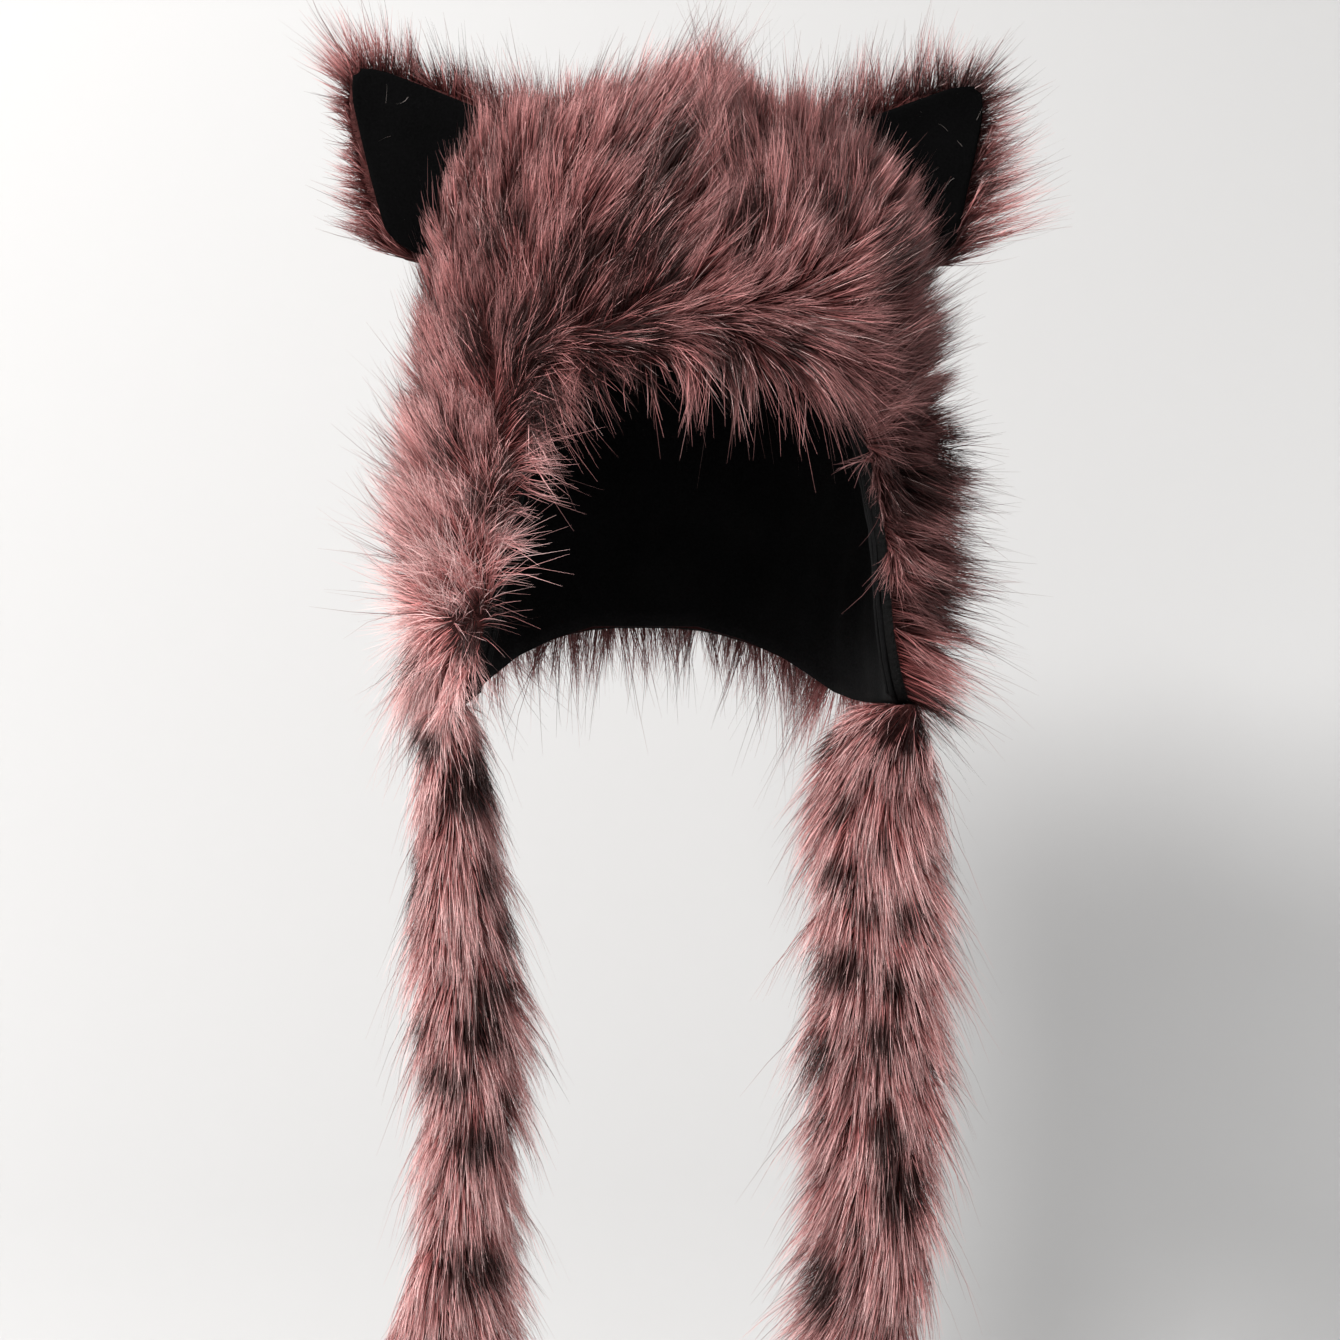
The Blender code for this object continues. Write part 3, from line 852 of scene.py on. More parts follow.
def tone_and_painted_light(across, height, backward):
    """How bright the cloth is, painted light included. Round the sides the front panel passes softly into
    the back.
    """
    front = charted(TONE_AND_PAINTED_LIGHT, across, height, TONE_AND_PAINTED_LIGHT[:, 2], TONE_BLEND)
    back = charted(TONE_AND_PAINTED_LIGHT, SPOT_BACK_SHIFT - across, height, TONE_AND_PAINTED_LIGHT[:, 2], TONE_BLEND) * BACK_TONE
    behind = np.clip((backward - BEHIND_FROM) / BEHIND_OVER, 0, 1)
    return front + (back - front) * behind


print("rows in the chart of the tone:", len(TONE_AND_PAINTED_LIGHT))

# %% [markdown]
# ## From root to tip
#
# A strand is painted a deep red at the root, which is painted shade deep in the pile, and is palest at its
# tip, and no two strands are quite alike. Each is coloured at its corners, which costs nothing to render and
# follows the strand when it bends, as no texture would. Some strands were missed by the print, because they
# lay under others.

# %% The dye
# The deep red at the root is painted shade deep in the pile; the rose, the tips and the spots are the dye
ROOT_SHADE_RED = np.array([0.035, 0.005, 0.005])
ROSE = np.array([0.240, 0.058, 0.055])
TIP_ROSE = np.array([0.600, 0.290, 0.280])
TIP_PALE = np.array([0.720, 0.460, 0.450])
PALEST = np.array([0.800, 0.550, 0.535])
SPOT_BROWN = np.array([0.012, 0.004, 0.004])
SPOT_TIP = np.array([0.035, 0.014, 0.013])

# From which brightness, painted light included, the cloth counts as pale, and how far its roots follow
PALE_FROM = 0.9
PALE_OVER = 0.8
PALE_ROOT = 0.45

# How much more of the rose and of the tip a strand shows where the pile stands up, with less painted root
# shade
ROSE_GAIN = 1.3
STANDING_ROSE = 0.8
STANDING_PALE = 0.45
TIP_POWER = 2.5

# How much strands differ: by themselves, with their tuft and lock, a few bright, and strays dark, partly
# as dark guard hairs and partly as painted shade, as thin hairs look dark against a bright ground
OWN_TONE = (-0.03, 0.26)
TUFT_TONE = (0.72, 0.56)
LOCK_TONE = (0.86, 0.28)
BRIGHT_SHARE = 0.06
BRIGHTER = 1.7
STRAY_DARKER = 0.72
STRAY_RAMP = (7, 5.7)

# The print: where the back panel starts, how a spot's edge is feathered, how far down a strand it is dark
BEHIND = 0.25
FEATHER = 0.0022
FEATHER_LENGTHWISE = 1.5
TIP_FROM = 0.9
MIDDLE_FROM = 0.5
TIP_FOLLOWS = 0.85
DARK_FROM = (0.1, 0.5)
DARK_CONTRAST = 6
MISSED = 0.10
PILE_MARKS = {*VECTOR_MARKS, "lift", "reach", "cover", "edge", "along", "ruffle"}


def per_strand(mesh, name):
    """A vector of each strand, the same at all its corners."""
    return read_attribute(mesh, name).reshape(-1, CORNERS, 3)[:, 0]


def forget_marks(mesh):
    """Takes the attributes that the pile was grown by off its mesh."""
    for name in [layer.name for layer in mesh.attributes]:
        if name in PILE_MARKS:
            mesh.attributes.remove(mesh.attributes[name])


def printed_on(across, height, along, missed, chance):
    """How dark the print makes each corner. A tip follows the part below it."""
    count = len(across)
    feather = chance.normal(0, FEATHER, (2, count, 1))
    dark = spotted((across + feather[0]).ravel(), (height + feather[1] * FEATHER_LENGTHWISE).ravel())
    dark = dark.reshape(count, CORNERS)
    tip = along > TIP_FROM
    below_tip = (dark * ((along > MIDDLE_FROM) & ~tip)).max(axis=1, keepdims=True)
    dark = np.where(tip, np.maximum(dark, below_tip * TIP_FOLLOWS), dark)
    dark = np.clip((dark - chance.uniform(*DARK_FROM, (count, 1))) * DARK_CONTRAST, 0, 1)
    return dark * (chance.uniform(size=(count, 1)) > missed)


def varied(tone_and_light, tuft, lock, luck, chance):
    """The brightness of each strand, painted light included, with the ways in which strands differ."""
    count = len(tone_and_light)
    shared = (TUFT_TONE[0] + TUFT_TONE[1] * tuft[:, 2], LOCK_TONE[0] + LOCK_TONE[1] * lock[:, 1])
    tone_and_light = tone_and_light * (np.exp(chance.normal(*OWN_TONE, count)) * shared[0] * shared[1])
    tone_and_light = tone_and_light * np.where(chance.uniform(size=count) < BRIGHT_SHARE, BRIGHTER, 1.0)
    # The longest strays are darker: partly dark guard hairs, partly painted shade of hairs against the light
    return tone_and_light * (1 - STRAY_DARKER * np.clip(luck[:, 0] * STRAY_RAMP[0] - STRAY_RAMP[1], 0, 1))


def dye_and_painted_light(piece, seed, missed=MISSED):
    """Colours each strand: its root in painted shade, its tip pale, and dark where it lies in a spot."""
    mesh = piece.data
    along = read_attribute(mesh, "along", 1).reshape(-1, CORNERS, 1)
    marks = ("out", "tuft_chance", "lock_chance", "chance", "lie")
    out, tuft, lock, luck, lie = (per_strand(mesh, name) for name in marks)
    chance = np.random.default_rng(seed)
    backward = out @ INTO
    across, height = (values.reshape(-1, CORNERS) for values in seen(mesh_points(mesh)))
    tone_and_light = tone_and_painted_light(across.mean(axis=1), height.mean(axis=1), backward)
    across = np.where(backward[:, None] > BEHIND, SPOT_BACK_SHIFT - across, across)
    dark = printed_on(across, height, along[:, :, 0], missed, chance)
    # Paleness follows the charted brightness, so the tips are painted paler where light is painted on
    paleness = np.clip((tone_and_light - PALE_FROM) / PALE_OVER, 0, 1)[:, None, None]
    tone_and_light = varied(tone_and_light, tuft, lock, luck, chance)
    tip_colour = TIP_ROSE + (TIP_PALE - TIP_ROSE) * paleness
    # The root is painted in shade, less so where the cloth is pale or the pile stands up
    root_shade_colour = ROOT_SHADE_RED + (ROSE * PALE_ROOT - ROOT_SHADE_RED) * paleness
    standing = (1 - np.minimum(np.linalg.norm(lie, axis=1), 1))[:, None, None]
    shown = np.clip(along * ROSE_GAIN + STANDING_ROSE * standing, 0, 1)
    paled = np.clip(along + STANDING_PALE * standing, 0, 1) ** TIP_POWER
    plain = root_shade_colour + (ROSE - root_shade_colour) * shown + (tip_colour - ROSE) * paled
    plain = np.minimum(plain * tone_and_light[:, None, None], PALEST)
    printed = SPOT_BROWN + (SPOT_TIP - SPOT_BROWN) * along**2
    colour = plain + (printed - plain) * dark[:, :, None]
    values = np.ones((len(mesh.vertices), 4), np.float32)
    values[:, :3] = np.clip(colour, 0, 1).reshape(-1, 3)
    mesh.color_attributes.new("dye_and_painted_light", "FLOAT_COLOR", "POINT").data.foreach_set("color", values.ravel())
    forget_marks(mesh)


print("palest dye:", PALEST)

# %% [markdown]
# ## The shine of the pile
#
# Acrylic fibre is smooth, so it has a narrow glint along each strand and a soft sheen over the whole pile.
# The colour comes from the dye and from the light and shade painted on the strands, and all the rest is set
# on the shader itself.

# %% The pile's material
PILE_ROUGHNESS = 0.34
PILE_SPECULAR = 0.35
PILE_GLINT = (1.0, 0.74, 0.71, 1.0)


def started(name, roughness, specular):
    """A new material, with a pen for its tree and its shader."""
    material = bpy.data.materials.new(name)
    material.use_nodes = True
    shader = material.node_tree.nodes["Principled BSDF"]
    shader.inputs["Roughness"].default_value = roughness
    shader.inputs["Specular IOR Level"].default_value = specular
    return material, Pen(material.node_tree), shader


def pile_material(name):
    material, pen, shader = started(name, PILE_ROUGHNESS, PILE_SPECULAR)
    painted_colour = pen.node("ShaderNodeVertexColor", layer_name="dye_and_painted_light")
    pen.put(shader.inputs["Base Color"], painted_colour.outputs["Color"])
    shader.inputs["Specular Tint"].default_value = PILE_GLINT
    return material


PILE = pile_material("rose_pile")
print("pile material:", PILE.name)

# %% [markdown]
# ## The backing of the crown
#
# The pelt follows the wall of the plain model. Its backing is the outer side of the lining, made smooth and
# moved out by the thickness of the cloth. Taking it from the model keeps the fur seated on the lining all
# round, from the top of the crown to the points of the flaps.

# %% Backing for crown, flaps and nape
BACKING_OUT = 0.0065
BACKING_WALL = 0.0055
AXIS_TOP = -0.06
LOOKS_OUT = 0.35
MERGE_WITHIN = 0.00002
CROWN_CREASE = 40
SQUARENESS = 60
RUFFLED = [
    # across, height, width and height of a mussed place as the camera sees it, and how much it is mussed
    (-0.097, -0.232, 0.028, 0.045, 2.4),
    (-0.040, -0.118, 0.022, 0.016, 0.9),
]
PARTING_RUFFLE = 1.2
PARTING_DENSER = 0.6


def merged(node):
    """An editable copy of a plain node's mesh, with its loose triangles joined."""
    shape = bmesh.new()
    shape.from_mesh(frame["nodes"][node].data)
    bmesh.ops.remove_doubles(shape, verts=shape.verts, dist=MERGE_WITHIN)
    return shape


def paired(shape, crease):
    """Makes quads of pairs of triangles that meet at no more than a crease, in degrees."""
    limits = {
        "angle_face_threshold": math.radians(crease),
        "angle_shape_threshold": math.radians(SQUARENESS),
    }
    bmesh.ops.join_triangles(shape, faces=shape.faces, **limits)


def as_mesh(shape, name):
    mesh = bpy.data.meshes.new(name)
    shape.to_mesh(mesh)
    shape.free()
    return mesh


def outer_side(shape):
    """Keeps the faces of a round wall that look away from the hat's axis."""
    inner = []
    for face in shape.faces:
        centre = face.calc_center_median()
        axis = Vector((0, 0, min(centre.z, AXIS_TOP)))
        away = (centre - axis).normalized()
        if face.normal.dot(away) < LOOKS_OUT:
            inner.append(face)
    bmesh.ops.delete(shape, geom=inner, context="FACES")


def crown_backing(levels):
    shape = merged("crown_lining")
    outer_side(shape)
    paired(shape, CROWN_CREASE)
    holder = holding(as_mesh(shape, "crown_backing"), "crown_backing")
    rounding = holder.modifiers.new("round", "SUBSURF")
    rounding.levels = levels
    out = holder.modifiers.new("out", "DISPLACE")
    out.mid_level = 0.0
    out.strength = BACKING_OUT
    return applied(holder)


def vertex_normals(mesh):
    values = np.empty(len(mesh.vertices) * 3, np.float32)
    mesh.vertex_normals.foreach_get("vector", values)
    return values.reshape(-1, 3)


def combed(backing, chart):
    """Marks a backing as a chart combs it, and gives its points and how dense the pile is at each."""
    points = mesh_points(backing)
    lie, lift, reach = brushed(points, vertex_normals(backing), chart)
    across, height = seen(points)
    mussed = 0
    for middle, level, half_width, half_height, amount in RUFFLED:
        away = np.hypot((across - middle) / half_width, (height - level) / half_height)
        mussed = mussed + amount * np.exp(-(away**2))
    standing = 1 - np.minimum(np.linalg.norm(lie, axis=1), 1)
    mark(backing, lie=lie, lift=lift, reach=reach, ruffle=1 + mussed + PARTING_RUFFLE * standing)
    return points, 1 + PARTING_DENSER * standing


CROWN_BACKING = crown_backing(2)
crown_points, crown_dense = combed(CROWN_BACKING, CROWN_LIE)
print("crown backing:", len(CROWN_BACKING.polygons), "faces")

# %% [markdown]
# ## Fur of the crown
#
# The crown's fur is grown in four quarters, so that each stays a mesh of a handy size. A soft mask called
# `cover` says where on the backing each quarter grows.

# %% Grow the crown
HEM_FROM = -0.205
HEM_OVER = 0.025
HEM_DENSER = 0.9
EAR_SHADE_AT = 0.098
EAR_SHADE_WIDTH = 0.020
EAR_SHADE_DEPTH = 0.008
EAR_SHADE_ABOVE = -0.055
EAR_SHADE_INSIDE = 0.4
EAR_SHADE_LEAST = 0.05
FRONT_FROM = -0.015
CROWN_MISSED = 0.24
CROWN_PILE = {
    "length": 0.037,
    "droop": 0.05,
    "tuft_size": 0.019,
    "tuft_sway": 0.9,
    "tuft_pull": 0.52,
    "lock_pull": 0.50,
}
CROWN_PIECES = {
    # side, whether in front, strands to a square metre
    "crown_fur_front_left": (-1, True, 582000.0),
    "crown_fur_front_right": (1, True, 770000.0),
    "crown_fur_back_left": (-1, False, 275000.0),
    "crown_fur_back_right": (1, False, 255000.0),
}


def hem_share(points):
    """Thickens the pile along the hem at the back, where it hangs free below the lining."""
    low = np.clip((HEM_FROM - points[:, 2]) / HEM_OVER, 0, 1)
    return 1 + HEM_DENSER * low * (points[:, 1] > 0)


def ear_shade(points):
    """Thins the pile where an ear stands on the crown."""
    beside = np.abs(np.abs(points[:, 0]) - EAR_SHADE_AT)
    gap = np.hypot(beside / EAR_SHADE_WIDTH, points[:, 1] / EAR_SHADE_DEPTH)
    high = points[:, 2] > EAR_SHADE_ABOVE
    return np.where(high, np.clip(gap - EAR_SHADE_INSIDE, EAR_SHADE_LEAST, 1), 1)


def quarter(points, side, front):
    """A mask for one quarter of the crown: side is -1 or 1, and front is True or False."""
    facing = -(points @ INTO)
    in_side = points[:, 0] * side >= 0
    in_front = (facing > FRONT_FROM) == front
    return (in_side & in_front).astype(float)


def grow_crown():
    pieces = []
    thickness = ear_shade(crown_points) * crown_dense * hem_share(crown_points)
    for seed, (name, (side, front, density)) in enumerate(CROWN_PIECES.items()):
        backing = CROWN_BACKING.copy()
        mark(backing, cover=quarter(crown_points, side, front) * thickness)
        piece = grown(name, backing, PILE, seed, density=density, **CROWN_PILE)
        dye_and_painted_light(piece, seed, CROWN_MISSED)
        stand_in("crown_fur")
        pieces.append(piece)
    return pieces


crown_pieces = grow_crown()

# %% [markdown]
# ## The pelt under the pile
#
# Between the strands the eye meets the base of the pile, which is dense and in shadow. A closed sheet of
# cloth stands for it, painted a very dark red as shade deep in the pile, and broken up by one fine noise
# that raises its surface and paints its low places darker.
# Its cut edge is bound in the black of the facings, so that no bare red edge shows beside them.

# %% The pelt
MATT = 0.95
UNDERFUR_SPECULAR = 0.1
UNDERFUR_GRAIN = 420.0
UNDERFUR_BUMP = (0.9, 0.002)


def grained(pen, shader, grain, stops, height, bump):
    """Lets one noise run through the colours of a cloth, and one raise its surface."""
    ramp = pen.node("ShaderNodeValToRGB", {"Fac": grain})
    for element, (position, colour) in zip(ramp.color_ramp.elements, stops):
        element.position = position
        element.color = (*colour, 1.0)
    strength, distance = bump
    raised = pen.node("ShaderNodeBump", {"Height": height, "Strength": strength, "Distance": distance})
    pen.put(shader.inputs["Base Color"], ramp.outputs["Color"])
    pen.put(shader.inputs["Normal"], raised.outputs["Normal"])


# The underfur's very dark red is painted shade of the deep pile, and its low places are painted darker still
def underfur_material(name, deep, shallow):
    material, pen, shader = started(name, MATT, UNDERFUR_SPECULAR)
    place = pen.node("ShaderNodeTexCoord").outputs["Object"]
    noise = pen.node("ShaderNodeTexNoise", {"Vector": place, "Scale": UNDERFUR_GRAIN, "Detail": 4.0})
    grain = noise.outputs["Fac"]
    grained(pen, shader, grain, ((0.0, deep), (1.0, shallow)), grain, UNDERFUR_BUMP)
    return material


UNDERFUR = underfur_material("underfur", (0.006, 0.002, 0.002), (0.045, 0.012, 0.011))
BINDING = underfur_material("binding", (0.002, 0.002, 0.002), (0.007, 0.007, 0.007))
EAR_UNDERFUR = underfur_material("ear_underfur", (0.016, 0.005, 0.005), (0.090, 0.030, 0.028))


def walled(mesh, name, wall, materials=()):
    """A closed sheet: the mesh thickened inwards by a wall, whose rim takes the second material."""
    for material in materials:
        mesh.materials.append(material)
    holder = holding(mesh, name)
    modifier = holder.modifiers.new("wall", "SOLIDIFY")
    modifier.thickness = wall
    modifier.offset = -1.0
    modifier.material_offset_rim = 1
    made = applied(holder)
    made.name = name
    return made


def add_pelt():
    pelt = new_piece("crown_pelt", walled(crown_backing(1), "crown_pelt", BACKING_WALL, (UNDERFUR, BINDING)))
    pelt.data.shade_smooth()
    stand_in("crown_fur")
    print("crown pelt:", len(pelt.data.polygons), "faces")


add_pelt()

# %% [markdown]
# ## Tails
#
# Each tail is a strip of the same cloth, folded and sewn, so it is flat in section and hangs with a slow
# twist. Its core is lofted through ovals that turn and swing as the strip does, with the values of the
# plain model, and its pile runs down and fans out to both sides.

# %% The tails' cores
TAIL_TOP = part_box("tail_left")[1][2]
TAIL_LENGTH = 0.350
TAIL_WIDTH = 0.048
TAIL_THICKNESS = 0.024
TAIL_ROOT_WIDTH = 0.070
TAIL_ROOT_THICKNESS = 0.018
TAIL_ROOT = (0.1138, -0.0080)
TAIL_RINGS = 60
TAIL_SIDES = 28

TAIL_LEFT = np.array(
    [
        # drop, aside, forward, twist, girth
        (0.00, 0.003, 0.00, 88, 1.00),
        (0.05, 0.007, 0.00, 84, 0.96),
        (0.14, 0.014, 0.00, 70, 0.93),
        (0.28, 0.020, 0.00, 52, 0.94),
        (0.42, 0.031, 0.01, 36, 0.98),
        (0.49, 0.037, 0.01, 46, 0.97),
        (0.64, 0.033, 0.02, 64, 0.95),
        (0.71, 0.027, 0.02, 54, 0.96),
        (0.78, 0.018, 0.03, 44, 0.99),
        (0.85, 0.003, 0.03, 28, 1.04),
        (0.91, -0.014, 0.04, 18, 1.06),
        (0.97, -0.026, 0.04, 14, 0.78),
        (1.00, -0.031, 0.04, 12, 0.34),
    ]
)
TAIL_RIGHT = np.array(
    [
        # drop, aside, forward, twist, girth
        (0.00, -0.009, 0.00, -88, 1.00),
        (0.05, -0.025, 0.00, -70, 1.00),
        (0.14, -0.037, 0.00, -34, 1.02),
        (0.21, -0.034, 0.00, -14, 1.06),
        (0.35, -0.028, 0.01, -6, 1.08),
        (0.45, -0.033, 0.01, 0, 1.10),
        (0.56, -0.034, 0.02, -8, 1.06),
        (0.64, -0.044, 0.02, -16, 1.03),
        (0.78, -0.048, 0.03, -24, 1.00),
        (0.85, -0.057, 0.03, -28, 0.97),
        (0.91, -0.073, 0.04, -28, 0.95),
        (0.97, -0.085, 0.04, -26, 0.74),
        (1.00, -0.091, 0.04, -26, 0.34),
    ]
)


def tail_core(name, side, table):
    """A closed loft down the tail, ring by ring."""
    shape = bmesh.new()
    rings = []
    for row in range(TAIL_RINGS + 1):
        drop = row / TAIL_RINGS
        aside, forward, twist, girth = (np.interp(drop, table[:, 0], table[:, k]) for k in range(1, 5))
        rooted = max(0.0, 1 - drop * TAIL_LENGTH / TAIL_ROOT_WIDTH)
        half_width = (TAIL_ROOT_WIDTH * rooted + TAIL_WIDTH * (1 - rooted)) / 2 * girth
        half_thick = (TAIL_ROOT_THICKNESS * rooted + TAIL_THICKNESS * (1 - rooted)) / 2 * girth
        root = Vector((side * TAIL_ROOT[0], TAIL_ROOT[1], TAIL_TOP))
        centre = root + Vector((aside, -forward, -drop)) * TAIL_LENGTH
        turned = Matrix.Rotation(math.radians(twist), 3, "Z")
        ring = []
        for k in range(TAIL_SIDES):
            angle = 2 * math.pi * k / TAIL_SIDES
            spoke = Vector((half_width * math.cos(angle), half_thick * math.sin(angle), 0))
            ring.append(shape.verts.new(centre + turned @ spoke))
        rings.append(ring)
    for upper, lower in zip(rings, rings[1:]):
        for k in range(TAIL_SIDES):
            after = (k + 1) % TAIL_SIDES
            shape.faces.new((upper[k], lower[k], lower[after], upper[after]))
    shape.faces.new(rings[0])
    shape.faces.new(list(reversed(rings[-1])))
    bmesh.ops.recalc_face_normals(shape, faces=shape.faces)
    mesh = as_mesh(shape, name)
    mesh.shade_smooth()
    return mesh


TAIL_CORES = {
    "left": tail_core("tail_left_core", -1, TAIL_LEFT),
    "right": tail_core("tail_right_core", 1, TAIL_RIGHT),
}
print("tail cores:", [len(core.polygons) for core in TAIL_CORES.values()], "faces")

# %% [markdown]
# ## Pile of the tails
#
# On a strip that hangs, the pile falls down along it and spreads to both sides from its middle. The way it
# lies follows from the rings of the core, so it needs no chart. Near the flap it stands up and spreads
# further, where the seam pushes it out, and at both ends it swings aside.

# %% Grow the tails
TAIL_FAN = 0.55
TAIL_TOP_FAN = 0.36
TAIL_TOP_STAND = 0.55
TAIL_FADE = 0.05
TAIL_SWING_FROM = -0.490
TAIL_SWING_OVER = 0.070
TAIL_LIFT = 0.45
TAIL_TOP_LOWER = 0.15
TAIL_RUFFLE = 0.8
TAIL_END_REACH = 0.6
TAIL_END_FADE = 0.05
TAIL_CAP = 0.001
TAIL_CAP_COVER = 0.2
TAIL_PILE = {
    "density": 520000.0,
    "length": 0.031,
    "droop": 0.05,
    "tuft_size": 0.013,
    "tuft_sway": 0.7,
    "tuft_pull": 0.30,
    "lock_pull": 0.25,
    "stray": 0.6,
}


def comb_tail(core, top_swing, end_swing):
    """Pile that runs down the strip and fans out from its middle, and swings aside at both ends."""
    rows = mesh_points(core).reshape(TAIL_RINGS + 1, TAIL_SIDES, 3)
    middle = rows.mean(axis=1)
    down = np.gradient(middle, axis=0)
    down /= np.linalg.norm(down, axis=1, keepdims=True)
    aside = rows - middle[:, None, :]
    widest = np.linalg.norm(aside, axis=2).max(axis=1)
    fan = aside / widest[:, None, None]
    height = rows[:, :, 2:]
    top_share = np.clip(1 - (TAIL_TOP - height) / TAIL_FADE, 0, 1)
    swung = end_swing * np.clip((TAIL_SWING_FROM - height) / TAIL_SWING_OVER, 0, 1)
    swung = swung + top_swing * top_share
    lie = down[:, None, :] + ACROSS * swung + fan * (TAIL_FAN + TAIL_TOP_FAN * top_share)
    lie /= np.linalg.norm(lie, axis=2, keepdims=True)
    lie = lie * (1 - TAIL_TOP_STAND * top_share**2)
    near_end = np.clip((height - (TAIL_TOP - TAIL_LENGTH)) / TAIL_END_FADE, 0, 1)
    mark(
        core,
        lie=lie.reshape(-1, 3),
        lift=(TAIL_LIFT - TAIL_TOP_LOWER * top_share).ravel(),
        ruffle=np.full(height.size, TAIL_RUFFLE),
        reach=(TAIL_END_REACH + (1 - TAIL_END_REACH) * near_end).ravel(),
        cover=np.where(height > TAIL_TOP - TAIL_CAP, TAIL_CAP_COVER, 1.0).ravel(),
    )


def add_tail(word, seed, swings):
    core = TAIL_CORES[word]
    combed_core = core.copy()
    comb_tail(combed_core, *swings)
    fur = grown(f"tail_{word}_fur", combed_core, PILE, seed, **TAIL_PILE)
    dye_and_painted_light(fur, seed)
    strip = new_piece(f"tail_{word}_strip", core, UNDERFUR)
    for piece in (fur, strip):
        stand_in(f"tail_{word}")


add_tail("left", 21, (0.0, 0.34))
add_tail("right", 22, (-0.32, -0.30))

# %% [markdown]
# ## Ears
#
# Each ear is a cupped triangle: fur cloth behind, black felt in front, turned at the edge so that the pile
# frames the felt. The sheet is drawn in the ear's own frame, with the width falling to a rounded tip, and
# is then stood on the crown where the plain model has it.

# %% The ears' sheets
EAR_WIDTH = 0.098
EAR_HEIGHT = 0.086
EAR_CUP = 0.012
EAR_LEAN = math.radians(41.0)
EAR_PLACE = (0.1001, 0.0, -0.0442)
EAR_TIP_WIDTH = 0.012
EAR_BORDER = 0.0025
EAR_SINK = 0.012
EAR_TAPER = 1.15
EAR_ROUND_FROM = 0.86
EAR_ROUND_TO = 1.01
EAR_FOOT = 0.020
EAR_TUCK = 0.45
EAR_TUCK_POWER = 1.3
TIP_BORDER_LESS = 0.5
EAR_ROWS = 22
EAR_COLUMNS = 20


def ear_frame(side):
    turn = Matrix.Rotation(side * EAR_LEAN, 4, "Y")
    return Matrix.Translation((side * EAR_PLACE[0], EAR_PLACE[1], EAR_PLACE[2])) @ turn


def ear_half(share):
    """Half the width of the ear's sheet at a share of its height, rounded off at the tip."""
    half = EAR_TIP_WIDTH / 2 + (EAR_WIDTH - EAR_TIP_WIDTH) / 2 * (1 - max(share, 0.0) ** EAR_TAPER)
    into_tip = min(max((share - EAR_ROUND_FROM) / (EAR_ROUND_TO - EAR_ROUND_FROM), 0.0), 1.0)
    return half * math.sqrt(1 - into_tip**2)


def ear_sheet(name, side, border, back):
    """The cupped sheet of an ear with a border round it, tucked in at its outer foot."""
    shape = bmesh.new()
    rows = []
    for row in range(EAR_ROWS + 1):
        share = row / EAR_ROWS
        up = -EAR_SINK + (EAR_HEIGHT + border + EAR_SINK) * share
        half = ear_half(min(up / EAR_HEIGHT, 1.0)) + border * (1 - TIP_BORDER_LESS * share**6)
        foot = min(max((EAR_FOOT - up) / (EAR_FOOT + EAR_SINK), 0.0), 1.0)
        ring = []
        for k in range(EAR_COLUMNS + 1):
            x = half * (2 * k / EAR_COLUMNS - 1)
            if x * side > 0:
                x *= 1 - EAR_TUCK * foot**EAR_TUCK_POWER
            ring.append(shape.verts.new((x, back - EAR_CUP * (2 * x / EAR_WIDTH) ** 2, up)))
        rows.append(ring)
    for lower, upper in zip(rows, rows[1:]):
        for k in range(EAR_COLUMNS):
            shape.faces.new((lower[k], upper[k], upper[k + 1], lower[k + 1]))
    return as_mesh(shape, name)


print("ear sheets:", EAR_ROWS, "rows of", EAR_COLUMNS, "faces")

# %% [markdown]
# ## Pile of the ears
#
# The pile grows on the back of each ear and on its border, and none grows on the felt. It runs up the ear
# and fans out over the edge, like a fringe round the panel. On the border it is combed a little astray by
# chance, as hands leave it. All of it is combed in the ear's own frame, and is stood on the crown
# afterwards.

# %% Grow the ears
EAR_BACK = 0.0065
EAR_WALL_SHARE = 0.8
EAR_TRIM = {-1: (0.18, 0.64), 1: (-0.24, -0.10)}
EAR_FULL = 0.90
EAR_TIP_TRIM = 0.06
FACES_FRONT = -0.3
FRONT_REACH = 0.70
FRONT_LIFT = 0.5
BACK_LIFT = 0.45
OUTER_LOWER = 0.5
ASTRAY = 0.55
ASTRAY_SEED = 7
FAN_OUT = 0.55
FAN_FORWARD = 0.25
BORDER_FROM = 0.95
TIP_BORDER = 0.003
EDGE_MARGIN = 0.002
EDGE_MOST = 1.3
OUTER_OVER = 0.03
OUTER_TO = 1.2
SIDE_OVER = 0.02
EAR_PILE = {
    "density": 1000000.0,
    "length": 0.034,
    "droop": 0.0,
    "tuft_size": 0.011,
    "tuft_pull": 0.4,
    "stray": 0.45,
}


def up_the_ear(points):
    """How far up its ear each point is, as a share, and half the ear's width there."""
    share = np.clip(points[:, 2] / EAR_HEIGHT, 0, 1)
    return share, np.array([ear_half(s) for s in share])


